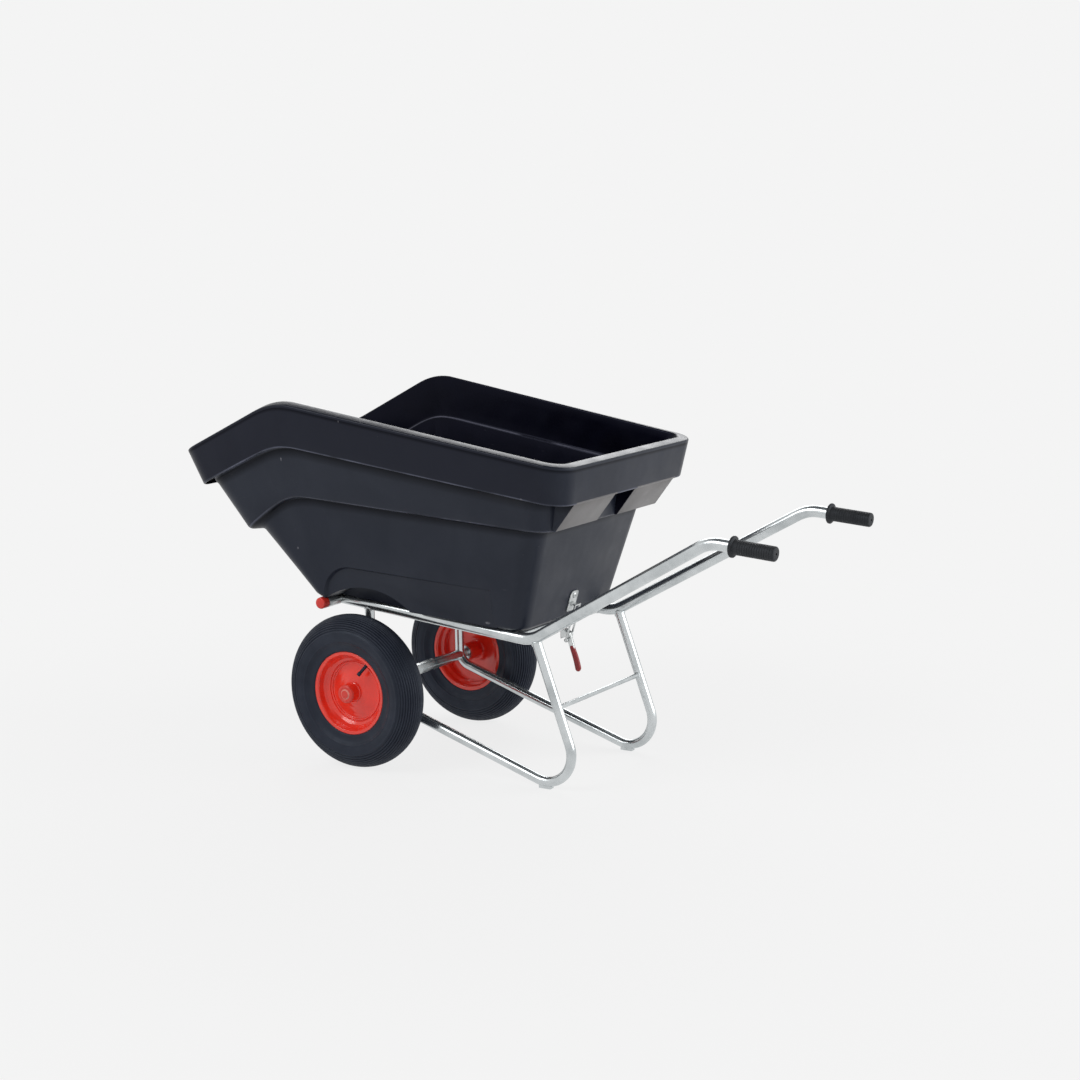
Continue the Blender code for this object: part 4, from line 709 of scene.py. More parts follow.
@dataclass(frozen=True)
class Gloss:
    """A glossy coloured finish, such as enamel or moulded plastic, with a rubbed ring if it has one."""

    name: str
    base: Triple
    shade: Triple
    roughness: Point
    peel: float = 0.00012
    coat: float = 0.0
    ring: Mark | None = None
    pale: Triple = (0.86, 0.40, 0.33)

    def make(self) -> bpy.types.Material:
        """The finish as a material."""
        recipe = Recipe(self.name)
        cloud = recipe.noise(22.0, 5.0)
        colour = recipe.ramp(cloud, (0.30, self.shade), (0.65, self.base))
        if self.ring:
            off = recipe.math("ABSOLUTE", recipe.math("SUBTRACT", self.ring.reach(recipe), 1.0))
            rubbed = recipe.times(recipe.spread(off, 0.85, 0.0, 0.08, 0.16), recipe.spread(cloud, 0.6, 1.0))
            colour = recipe.blend(rubbed, colour, self.pale)
        recipe.feed("Base Color", colour)
        recipe.feed("Roughness", recipe.spread(recipe.noise(45.0, 3.0), *self.roughness, 0.3, 0.7))
        recipe.bump(recipe.noise(260.0, 2.0), self.peel, 0.4)
        recipe.set(Coat_Weight=self.coat, Coat_Roughness=0.08)
        return recipe.material


SCUFFS = (
    Mark((0.189, -0.328, 0.738), (0.005, 0.03, 0.008)),
    Mark((0.156, -0.322, 0.699), (0.0022, 0.03, 0.013)),
    Mark((-0.014, -0.303, 0.672), (0.011, 0.03, 0.0018)),
    Mark((0.020, -0.301, 0.669), (0.006, 0.03, 0.0014)),
    Mark((0.083, -0.265, 0.499), (0.022, 0.03, 0.0022)),
    Mark((0.022, -0.230, 0.408), (0.009, 0.03, 0.0040)),
    Mark((0.091, -0.205, 0.390), (0.0035, 0.03, 0.0030)),
    Mark((-0.318, -0.372, 0.907), (0.0024, 0.02, 0.0045)),
    Mark((-0.167, -0.370, 0.882), (0.0020, 0.02, 0.0034)),
    Mark((-0.204, -0.370, 0.875), (0.0016, 0.02, 0.0045)),
    Mark((-0.521, -0.340, 0.799), (0.0024, 0.02, 0.0060)),
    Mark((-0.509, -0.300, 0.565), (0.0030, 0.03, 0.0040)),
)
# Painted reflection: boxes over the lugs' sloped faces, which the tub's material makes lighter.
LUG_REFLECTIONS = tuple(Mark((0.262, side.value * 0.1445, 0.6922), (0.0345, 0.0967, 0.0376), True) for side in Side)
# Lips for painted shade under each ledge and a painted highlight line along its edge; the rim's lip has painted
# shade only, and the inner ledge has both.
SKIRT_LIP = Lip((-0.788, 0.715), (-0.522, 0.8385), (0.294, 0.725))
STEP_LIP = Lip((-0.663, 0.6025), (-0.522, 0.7050), (0.228, 0.653), 0.75, 0.026)
RIM_LIP = Lip((-0.831, 0.798), (-0.522, 0.944), (0.312, 0.8155), 0.0, 0.012)
LEDGE = Lip((-0.748, 0.7205), (-0.522, 0.8405), (0.231, 0.7325), 0.9, 0.006, 0.0022)
HUB_RING = Mark((-0.36204, 0.0, 0.2), (0.0118, 10.0, 0.0118))
# Painted shade: a darker, duller copy of the tub's plastic for its occluded inside, with a painted highlight
# line along the inner ledge.
TUB_INSIDE_SHADED = Polyethylene(
    "tub_polyethylene_inside",
    (0.0014, 0.0014, 0.0040),
    (0.0028, 0.0030, 0.0085),
    (0.05, 0.05, 0.065),
    lip=(0.110, 0.112, 0.150),
    tint=(0.62, 0.66, 1.0),
    roughness=(0.22, 0.36),
    shine=0.10,
    lips=(LEDGE,),
)
FINISHES = {
    Slot.GALVANISED: Galvanised(),
    Slot.ZINC: ZincPlate(),
    Slot.TUB: Polyethylene(marks=SCUFFS, wear=LUG_REFLECTIONS, lips=(SKIRT_LIP, STEP_LIP, RIM_LIP), band=SKIRT_LIP),
    Slot.TYRE: Rubber("tyre_rubber_dusty"),
    Slot.INNER_TUBE: Rubber("valve_rubber", roughness=(0.45, 0.6)),
    Slot.GRIP: Rubber("grip_rubber_matt", (0.013, 0.013, 0.014), (0.030, 0.030, 0.031), (0.52, 0.68)),
    Slot.ENAMEL: Gloss(
        "wheel_enamel", (0.88, 0.042, 0.020), (0.80, 0.030, 0.015), (0.14, 0.24), 0.00006, 0.3
    ),
    Slot.CAP: Gloss("cap_plastic", (0.72, 0.040, 0.026), (0.60, 0.028, 0.020), (0.26, 0.40), ring=HUB_RING),
    Slot.LEVER: Gloss("lever_plastic", (0.32, 0.018, 0.022), (0.22, 0.012, 0.016), (0.32, 0.46)),
    Slot.BEARING: ZincPlate("bearing_race", (0.42, 0.42, 0.43), (0.62, 0.62, 0.64), (0.14, 0.28)),
}


class Shop:
    """What every sub-assembly needs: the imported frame, the finishes and the drawing's place."""

    def __init__(self, packed: dict, axle_x: float) -> None:
        """Makes every finish once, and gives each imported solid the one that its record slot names.

        Args:
            axle_x: Where the drawing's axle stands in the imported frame.
        """
        self.nodes = packed["nodes"]
        self.axle_x = axle_x
        self.paints = {slot: finish.make() for slot, finish in FINISHES.items()}
        # Painted shade: the darker material for the tub's inside.
        self.lining = TUB_INSIDE_SHADED.make()
        self.slots = {}
        for name, node in self.nodes.items():
            for index, old in enumerate(node.data.materials):
                self.slots[name] = Slot(old.name.split(".")[0])
                node.data.materials[index] = self.paints[self.slots[name]]

    def deliver(
        self,
        piece: Piece,
        body: str,
        slot: Slot,
        nodes: Sequence[str] = (),
        angle: float = 40.0,
        drawn: bool = True,
    ) -> None:
        """Finishes a piece: shading, place, material, body and the solids that it stands for.

        Args:
            piece: The modelled piece.
            body: The body that carries it.
            slot: Its finish.
            nodes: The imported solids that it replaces.
            angle: The angle over which its edges stay sharp.
            drawn: True if the piece is in the drawing frame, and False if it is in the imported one.
        """
        pick(piece)
        bpy.ops.object.shade_smooth_by_angle(angle=math.radians(angle))
        if drawn:
            piece.data.transform(Matrix.Translation((self.axle_x, 0, 0)))
        piece.data.materials.clear()
        piece.data.materials.append(self.paints[slot])
        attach(piece, body)
        if nodes:
            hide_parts(*nodes)
        LOG.info("%s: %d faces on %s", piece.name, len(piece.data.polygons), body)


# Frame.


class Bar(NamedTuple):
    """A straight stretch of tube: a point on its axis, its direction and its radius."""

    at: Vector
    way: Vector
    radius: float


@dataclass
class TubeFrame:
    """The galvanised frame: bent side and leg tubes, cross tubes, welds and end caps."""

    shop: Shop
    rail_radius: float = 0.015
    leg_radius: float = 0.0125
    cross_radius: float = 0.0125
    axle_radius: float = 0.015
    brace_radius: float = 0.006
    half: float = 0.200
    axle_z: float = 0.200
    pivot: Point = (-0.090, 0.424)
    rail_drop: float = math.radians(5.24)
    rail_bend_x: float = 0.494
    handle_rise: float = math.radians(29.3)
    handle_bend_x: float = 1.021
    handle_half: float = 0.259
    grip_drop: float = math.radians(4.5)
    handle_end_x: float = 1.1877
    bend_radius: float = 0.100
    strut_bend: float = 0.045
    runner_drop: float = math.radians(17.7)
    foot_x: float = 0.530
    foot_bend: float = 0.075
    foot_low: float = 0.0165
    leg_lean: float = math.radians(19.8)
    rear_cross_x: float = 0.446
    pivot_reach: float = 0.28769
    cross_reach: float = 0.196
    brace_z: float = 0.208
    sides: int = 32
    bead: float = 0.0022
    bead_ripple: float = 0.16
    bead_sides: int = 8
    bead_steps: int = 56
    cap_length: float = 0.0230
    cap_beyond: float = 0.0038

    def rail_height(self, x: float) -> float:
        """Height of the rail's axis."""
        return self.pivot[1] - math.tan(self.rail_drop) * (x - self.pivot[0])

    def side_corners(self, side: Side) -> list[Vector]:
        """Corners of a side tube's axis, from the front pivot to the handle's end."""
        bend_z = self.rail_height(self.rail_bend_x)
        grip_z = bend_z + math.tan(self.handle_rise) * (self.handle_bend_x - self.rail_bend_x)
        end_z = grip_z - math.tan(self.grip_drop) * (self.handle_end_x - self.handle_bend_x)
        rail_y, handle_y = side.value * self.half, side.value * self.handle_half
        return [
            Vector((self.pivot[0], rail_y, self.pivot[1])),
            Vector((self.rail_bend_x, rail_y, bend_z)),
            Vector((self.handle_bend_x, handle_y, grip_z)),
            Vector((self.handle_end_x, handle_y, end_z)),
        ]

    def leg_corners(self, side: Side) -> list[Vector]:
        """Corners of a leg tube's axis: strut top, strut foot, foot, leg top."""
        centre = Vector((self.foot_x, 0, self.foot_low + self.foot_bend))
        runner = Vector((math.cos(self.runner_drop), 0, -math.sin(self.runner_drop)))
        leg = Vector((-math.sin(self.leg_lean), 0, math.cos(self.leg_lean)))
        runner_at = centre + self.foot_bend * Vector((runner.z, 0, -runner.x))
        leg_at = centre + self.foot_bend * Vector((leg.z, 0, -leg.x))
        handle_at = Vector((self.rail_bend_x, 0, self.rail_height(self.rail_bend_x)))
        handle = Vector((math.cos(self.handle_rise), 0, math.sin(self.handle_rise)))
        corners = [
            Vector((0, 0, self.rail_height(0))),
            self.meet(Vector((0, 0, 0)), UP, runner_at, runner),
            self.meet(runner_at, runner, leg_at, leg),
            self.meet(leg_at, leg, handle_at, handle),
        ]
        return [corner + Vector((0, side.value * self.half, 0)) for corner in corners]

    @staticmethod
    def meet(first: Vector, first_way: Vector, second: Vector, second_way: Vector) -> Vector:
        """Where two lines of the side view meet."""
        gap = second - first
        det = first_way.z * second_way.x - first_way.x * second_way.z
        return first + first_way * (gap.z * second_way.x - gap.x * second_way.z) / det

    def bent_tube(
        self, name: str, corners: Sequence[Vector], bends: Sequence[float], radius: float, node: str
    ) -> None:
        """A tube bent as on a bending bench: run straight, spin round a bend, run on.

        Args:
            name: The piece's name.
            corners: The corners of its axis.
            bends: The bend radius at each inner corner.
            radius: The tube's own radius.
            node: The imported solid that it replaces.
        """
        way = (corners[1] - corners[0]).normalized()
        bpy.ops.object.select_all(action="DESELECT")
        turn = pointing(corners[0], way).to_euler()
        bpy.ops.mesh.primitive_circle_add(
            vertices=self.sides, radius=radius, fill_type="NGON", location=corners[0], rotation=turn
        )
        tube = named(name)
        bpy.ops.object.transform_apply(location=True, rotation=True, scale=True)
        here = corners[0].copy()
        with edit_mode(tube, "SELECT"):
            for index, bend in enumerate(bends, start=1):
                after = (corners[index + 1] - corners[index]).normalized()
                angle = way.angle(after)
                start = corners[index] - way * bend * math.tan(angle / 2)
                bpy.ops.mesh.extrude_region_move(TRANSFORM_OT_translate={"value": start - here})
                centre = corners[index] + (after - way).normalized() * bend / math.cos(angle / 2)
                steps = max(6, round(math.degrees(angle) / 5))
                bpy.ops.mesh.spin(steps=steps, angle=angle, center=centre, axis=after.cross(way).normalized())
                here = corners[index] + after * bend * math.tan(angle / 2)
                way = after
            bpy.ops.mesh.extrude_region_move(TRANSFORM_OT_translate={"value": corners[-1] - here})
            turn_outwards(merge=True)
        self.shop.deliver(tube, "frame", Slot.GALVANISED, [node])

    def weld(self, name: str, bar: Bar, other: Bar) -> None:
        """A rippled weld bead where one tube runs into another.

        Args:
            name: The bead's name.
            bar: The tube that ends there, from a point outside the other.
            other: The tube that it runs into.
        """
        across = bar.way.cross(other.way).normalized()
        up = bar.way.cross(across).normalized()
        axis = other.way.normalized()
        slope = bar.way - axis * bar.way.dot(axis)
        bpy.ops.object.select_all(action="DESELECT")
        bpy.ops.mesh.primitive_torus_add(
            major_segments=self.bead_steps,
            minor_segments=self.bead_sides,
            major_radius=0.02,
            minor_radius=0.002,
        )
        bead = named(name)
        with edit_mode(bead) as mesh:
            mesh.verts.ensure_lookup_table()
            for k in range(self.bead_steps):
                turn = 2 * math.pi * k / self.bead_steps
                spoke = across * math.cos(turn) + up * math.sin(turn)
                line = bar.at + spoke * bar.radius - other.at
                flat = line - axis * line.dot(axis)
                half_b = flat.dot(slope)
                outside = flat.length_squared - other.radius**2
                room = max(0.0, half_b * half_b - slope.length_squared * outside)
                reach = (-half_b - math.sqrt(room)) / slope.length_squared
                centre = bar.at + spoke * bar.radius + bar.way * reach
                size = self.bead * (1.0 + self.bead_ripple * math.sin(k * math.pi * 0.5))
                for j in range(self.bead_sides):
                    roll = 2 * math.pi * j / self.bead_sides
                    offset = spoke * math.cos(roll) - bar.way * math.sin(roll)
                    mesh.verts[k * self.bead_sides + j].co = centre + offset * size
            bmesh.update_edit_mesh(bead.data)
            turn_outwards(merge=False)
        self.shop.deliver(bead, "frame", Slot.GALVANISED, angle=80.0)

    def leg_x(self, z: float) -> float:
        """Where the rear leg's axis stands at a height."""
        top = self.leg_corners(Side.RIGHT)[3]
        return top.x + math.tan(self.leg_lean) * (top.z - z)

    def build_side(self, side: Side) -> None:
        """The two bent tubes of one side, and their welds."""
        word, inward = side.word, Vector((0, side.value, 0))
        rail, leg = self.side_corners(side), self.leg_corners(side)
        bends = (self.bend_radius, self.bend_radius)
        self.bent_tube(f"rail_and_handle_{word}", rail, bends, self.rail_radius, f"side_tube_{word}")
        bends = (self.strut_bend, self.foot_bend)
        self.bent_tube(f"strut_and_leg_{word}", leg, bends, self.leg_radius, f"leg_tube_{word}")
        rail_way, handle_way = (rail[1] - rail[0]).normalized(), (rail[2] - rail[1]).normalized()
        leg_way = (leg[3] - leg[2]).normalized()
        below = 0.05
        strut_bar = Bar(leg[0] - UP * below, UP, self.leg_radius)
        leg_bar = Bar(leg[3] - leg_way * below, leg_way, self.leg_radius)
        cross_at = Vector((self.rear_cross_x, 0, self.rail_height(self.rear_cross_x)))
        cross_bar = Bar(cross_at, inward, self.cross_radius)
        brace_at = Vector((self.leg_x(self.brace_z), 0, self.brace_z))
        brace_bar = Bar(brace_at, inward, self.brace_radius)
        welds = [
            ("strut", strut_bar, Bar(leg[0], rail_way, self.rail_radius)),
            ("leg", leg_bar, Bar(rail[1], handle_way, self.rail_radius)),
            ("rear_cross", cross_bar, Bar(rail[0], rail_way, self.rail_radius)),
            ("brace", brace_bar, Bar(leg[3], leg_way, self.leg_radius)),
        ]
        for name, bar, other in welds:
            self.weld(f"weld_{name}_{word}", bar, other)

    def build_cap(self, side: Side) -> None:
        """The moulded cap on one end of the front cross tube."""
        profile = [
            *[(0.0196, 0.0, 0), (0.0196, 0.0126, 0.0), (0.0, 0.0126, 0.0006), (0.0, 0.0147, 0.0008)],
            *[(0.0035, 0.0152, 0.0006), (self.cap_length, 0.0148, 0.0045), (self.cap_length, 0.0, 0)],
        ]
        across = side.value * (self.pivot_reach + self.cap_beyond - self.cap_length)
        place = pointing(Vector((self.pivot[0], across, self.pivot[1])), Vector((0, side.value, 0)))
        cap = lathe(f"pivot_cap_{side.word}", soft_profile(profile, 5), place, 40)
        self.shop.deliver(cap, "frame", Slot.CAP, [f"end_cap_{side.word}"])

    def build(self) -> None:
        """The whole frame."""
        for side in Side:
            self.build_side(side)
            self.build_cap(side)
        reach, cross_x, brace_z = self.cross_reach, self.rear_cross_x, self.brace_z
        cross_z = self.rail_height(cross_x)
        spans = [
            ("pivot_tube", *self.pivot, self.pivot_reach, self.cross_radius, "front_cross_tube"),
            ("rear_cross_bar", cross_x, cross_z, reach, self.cross_radius, "rear_cross_tube"),
            ("axle_beam", 0.0, self.axle_z, reach, self.axle_radius, "axle_tube"),
            ("leg_brace_rod", self.leg_x(brace_z), brace_z, reach, self.brace_radius, "leg_brace"),
        ]
        for name, x, z, half, radius, node in spans:
            self.bent_tube(name, [Vector((x, -half, z)), Vector((x, half, z))], (), radius, node)


@dataclass
class Grips:
    """The rubber grips on the handles."""

    shop: Shop
    frame: TubeFrame
    length: float = 0.112
    radius: float = 0.0178
    bore: float = 0.0153
    flange: float = 0.0255
    flange_thick: float = 0.006
    rings: int = 14
    ring_pitch: float = 0.0062
    beyond: float = 0.0043

    def build(self) -> None:
        """Both grips, in line with the handles' ends."""
        for side in Side:
            corners = self.frame.side_corners(side)
            way = (corners[3] - corners[2]).normalized()
            place = pointing(corners[3] + way * (self.beyond - self.length), way)
            grip = lathe(f"grip_sleeve_{side.word}", self.profile(), place, 48)
            self.shop.deliver(grip, "frame", Slot.GRIP, [f"grip_{side.word}"])

    def profile(self) -> list[Point]:
        """The grip's section, with a stop ring, shallow rings and a vented end."""
        thick, radius, end = self.flange_thick, self.radius, self.length
        corners = [(0.0, self.bore, 0), (0.0, self.flange, 0.0022), (thick, self.flange, 0.0022)]
        corners += [(thick + 0.0015, radius + 0.0012, 0.0012), (thick + 0.010, radius, 0.0)]
        for k in range(self.rings):
            at = 0.020 + k * self.ring_pitch
            corners += [(at, radius, 0.0003), (at + 0.0006, radius - 0.0008, 0.0003)]
            corners += [(at + 0.0014, radius - 0.0008, 0.0003), (at + 0.0020, radius, 0.0003)]
        corners += [(end, radius - 0.0002, 0.0042), (end, 0.003, 0.0004)]
        corners += [(end - 0.004, 0.003, 0.0), (end - 0.004, self.bore, 0)]
        return soft_profile(corners, 3)


# Wheels.

# Corners are (along, radius, rounding), with Z outboard from the wheel's centre plane.
RIM_OUTER = [(0.0348, 0.1087, 0.0012), (0.0320, 0.1077, 0.0015), (0.0310, 0.1000, 0.003)]
RIM_OUTER += [(0.0185, 0.0985, 0.003), (0.0130, 0.0915, 0.004)]
RIM_BACK = [(-0.0348, 0.1061, 0.0008), (-0.0336, 0.0974, 0.0055), (-0.0198, 0.0959, 0.004)]
RIM_BACK += [(-0.0143, 0.0889, 0.0015), (0.0004, 0.0889, 0.0010), (0.0004, 0.0700, 0.003)]
RIM_BACK += [(0.0026, 0.0590, 0.010), (0.0080, 0.0420, 0.008), (0.0134, 0.0300, 0.006)]
RIM_BACK += [(0.0139, 0.0243, 0.0)]
RIM_FRONT = [(0.0165, 0.0243, 0.0), (0.0162, 0.0305, 0.006), (0.0108, 0.0425, 0.008)]
RIM_FRONT += [(0.0052, 0.0600, 0.010), (0.0028, 0.0700, 0.002), (0.0028, 0.0726, 0.0008)]
RIM_FRONT += [(0.0060, 0.0737, 0.0010), (0.0064, 0.0766, 0.0012), (0.0040, 0.0778, 0.0008)]
RIM_FRONT += [(0.0040, 0.0790, 0.0006), (0.0068, 0.0804, 0.0012), (0.0110, 0.0878, 0.010)]
RIM_FRONT += [(0.0185, 0.0938, 0.008), (0.0300, 0.0972, 0.010), (0.0338, 0.1000, 0.002)]
RIM_FRONT += [(0.0340, 0.1040, 0.001), (0.0348, 0.1061, 0.0008)]
HUB = [(-0.042, 0.020, 0.0003), (-0.042, 0.024, 0.0010), (0.0115, 0.024, 0.0), (0.0125, 0.0262, 0.0012)]
HUB += [(0.0190, 0.0264, 0.0020), (0.0205, 0.024, 0.0010), (0.044, 0.024, 0.0010), (0.044, 0.020, 0.0003)]
# The cap's corners are counted from the hub's outer face.
CAP = [(-0.0045, 0.0, 0), (-0.0045, 0.0197, 0.0004), (0.0, 0.0197, 0.0), (0.0, 0.0236, 0.0006)]
CAP += [(0.0026, 0.0236, 0.0022), (0.0044, 0.0200, 0.0012), (0.0048, 0.0165, 0.0006)]
CAP += [(0.0036, 0.0153, 0.0004), (0.0036, 0.0124, 0.0004), (0.0062, 0.0108, 0.0008)]
CAP += [(0.0064, 0.0, 0)]


@dataclass
class Wheel:
    """One pneumatic wheel: ribbed tyre, pressed rim, hub and cap."""

    shop: Shop
    side: Side
    radius: float = 0.200
    tyre_half: float = 0.0475
    tyre_middle: float = 0.155
    track_half: float = 0.266
    bead: float = 0.100
    hub_face: float = 0.0443
    first_rib: float = 12.0
    rib_count: int = 9
    rib_depth: float = 0.0023
    line_height: float = 0.0006
    steps: int = 144
    hub_steps: int = 48
    edge_angle: float = 50.0

    def section(self, degrees: float, relief: float = 0.0) -> Point:
        """A point of the tyre's round section.

        Args:
            degrees: The angle round the section, 0 at its widest line and 90 at its crown.
            relief: How far under the surface.

        Returns:
            The point (along, radius).
        """
        turn = math.radians(degrees)
        width = math.cos(turn) if degrees > 0 else math.cos(turn) ** 0.8
        reach = self.radius - self.tyre_middle - relief
        return (self.tyre_half - relief) * width, self.tyre_middle + reach * math.sin(turn)

    def tyre_profile(self) -> list[Point]:
        """The tyre's section: bead, plain sidewall with two fine lines, and ribs up to the crown."""
        bead = self.bead
        half = [(0.0185, bead + 0.0003), (0.0302, bead + 0.0008), (0.0314, bead + 0.0030)]
        half += [(0.0316, 0.1075), (0.0352, 0.1094), (0.0362, 0.1120), (0.0366, 0.1160)]
        half += [self.section(degrees) for degrees in (-42, -36, -30)]
        for centre in (-25.0, 6.0):
            half += [self.section(centre - 2.2), self.section(centre - 0.9, -self.line_height)]
            half += [self.section(centre + 0.9, -self.line_height), self.section(centre + 2.2)]
            half += [self.section(centre + step) for step in (7.0, 12.0, 17.0, 22.0) if centre < 0]
        half += self.ribs()
        inner = [(-0.0185, bead + 0.012), (-0.0365, bead + 0.032)]
        inner += [(-0.0385, bead + 0.056), (-0.0275, bead + 0.083)]
        crown = (0.0, self.radius - 0.010)
        return half + self.flipped(half) + inner + [crown] + self.flipped(inner)

    @staticmethod
    def flipped(points: Sequence[Sequence[float]]) -> list[tuple[float, ...]]:
        """The same points on the other side of the centre plane, in reverse order."""
        return [(-point[0], *point[1:]) for point in reversed(points)]

    def ribs(self) -> list[Point]:
        """The ribs round the tyre, from its widest line to its crown."""
        rib = ((0.04, 0.94), (0.17, 1.0), (0.36, 0.12), (0.50, 0.0), (0.68, 0.0), (0.84, 0.12))
        crown = ((0.04, 0.94), (0.17, 1.0), (0.34, 0.12), (0.44, 0.0))
        pitch = (90.0 - self.first_rib) / (self.rib_count + 0.5)
        points = []
        for k in range(self.rib_count + 1):
            low = self.first_rib + pitch * k
            for share, depth in rib if k < self.rib_count else crown:
                points.append(self.section(low + pitch * share, self.rib_depth * depth))
        return points

    def build(self) -> None:
        """The whole wheel, turned on its axle."""
        word, body = self.side.word, f"wheel_{self.side.word}"
        outboard = Matrix.Rotation(-self.side.value * math.pi / 2, 4, "X")
        place = Matrix.Translation((0, self.side.value * self.track_half, self.radius)) @ outboard
        rim = soft_loop(RIM_OUTER + self.flipped(RIM_OUTER) + RIM_BACK + RIM_FRONT, 5)
        cap = soft_profile([(self.hub_face + along, radius, soft) for along, radius, soft in CAP], 3)
        turned = [
            ("ribbed_tyre", self.tyre_profile(), self.steps, Slot.TYRE, "tyre"),
            ("pressed_rim", rim, self.steps, Slot.ENAMEL, "rim"),
            ("hub_barrel", soft_loop(HUB, 3), self.hub_steps, Slot.ENAMEL, "hub"),
            ("hub_lid", cap, self.hub_steps, Slot.CAP, "hub_cap"),
        ]
        for name, profile, steps, slot, node in turned:
            piece = lathe(f"{name}_{word}", profile, place, steps)
            self.shop.deliver(piece, body, slot, [f"{node}_{word}"], self.edge_angle)


# Tub.


@dataclass(frozen=True)
class Line:
    """One line round the tub: a rounded outline in plan, whose height peaks near the front."""

    front_x: float
    front_z: float
    peak_z: float
    rear_x: float
    rear_z: float
    front_half: float
    rear_half: float
    front_corner: float
    rear_corner: float
    soft: float = 0.0
    peak_x: float = -0.160
    taper_x: float = -0.160
    blend: float = 0.060

    def half(self, x: float) -> float:
        """Half width at x: full width ahead of the peak, then a straight taper."""
        share = max(0.0, (x - self.taper_x) / (self.rear_x - self.taper_x))
        return self.front_half + (self.rear_half - self.front_half) * share

    def height(self, x: float) -> float:
        """Height at x: two straight runs joined by a parabola over the peak."""
        front_slope = (self.peak_z - self.front_z) / (self.peak_x - self.front_x)
        rear_slope = (self.rear_z - self.peak_z) / (self.rear_x - self.peak_x)
        into = x - (self.peak_x - self.blend)
        if into <= 0.0:
            return self.front_z + front_slope * (x - self.front_x)
        if into >= 2 * self.blend:
            return self.peak_z + rear_slope * (x - self.peak_x)
        start = self.peak_z - front_slope * self.blend
        return start + front_slope * into + (rear_slope - front_slope) * into**2 / (4 * self.blend)

    def end(self, rear: bool) -> Vector:
        """The middle of the line's rear or of its front."""
        return Vector((self.rear_x, 0, self.rear_z)) if rear else Vector((self.front_x, 0, self.front_z))

    def inside(self, inset: float, rise: float, soft: float) -> "Line":
        """The same line moved into the tub and up.

        Args:
            inset: How far in.
            rise: How far up.
            soft: The rounding of the new line's edge.

        Returns:
            The new line.
        """
        least_corner = 0.006
        return replace(
            self,
            front_x=self.front_x + inset,
            rear_x=self.rear_x - inset,
            front_z=self.front_z + rise,
            peak_z=self.peak_z + rise,
            rear_z=self.rear_z + rise,
            front_half=self.front_half - inset,
            rear_half=self.rear_half - inset,
            front_corner=max(least_corner, self.front_corner - inset),
            rear_corner=max(least_corner, self.rear_corner - inset),
            soft=soft,
        )

    def outline(self) -> list[Vector]:
        """The line's points, all the way round from the middle of its front."""
        nose, tail = self.front_x + self.front_corner, self.rear_x - self.rear_corner
        start, end = self.peak_x - self.blend, self.peak_x + self.blend
        middle = (nose, self.half(nose) - self.front_corner)
        points = [(self.front_x, 0.0), *arc(middle, self.front_corner, math.pi, math.pi / 2, 10)]
        for low, high, count in ((nose, start, 3), (start, end, 12), (end, tail, 9)):
            for k in range(0 if low == start else 1, count):
                at = low + (high - low) * k / count
                points.append((at, self.half(at)))
        middle = (tail, self.half(tail) - self.rear_corner)
        points += [*arc(middle, self.rear_corner, math.pi / 2, 0.0, 10), (self.rear_x, 0.0)]
        one = [Vector((x, y, self.height(x))) for x, y in points]
        return one + [Vector((p.x, -p.y, p.z)) for p in reversed(one[1:-1])]


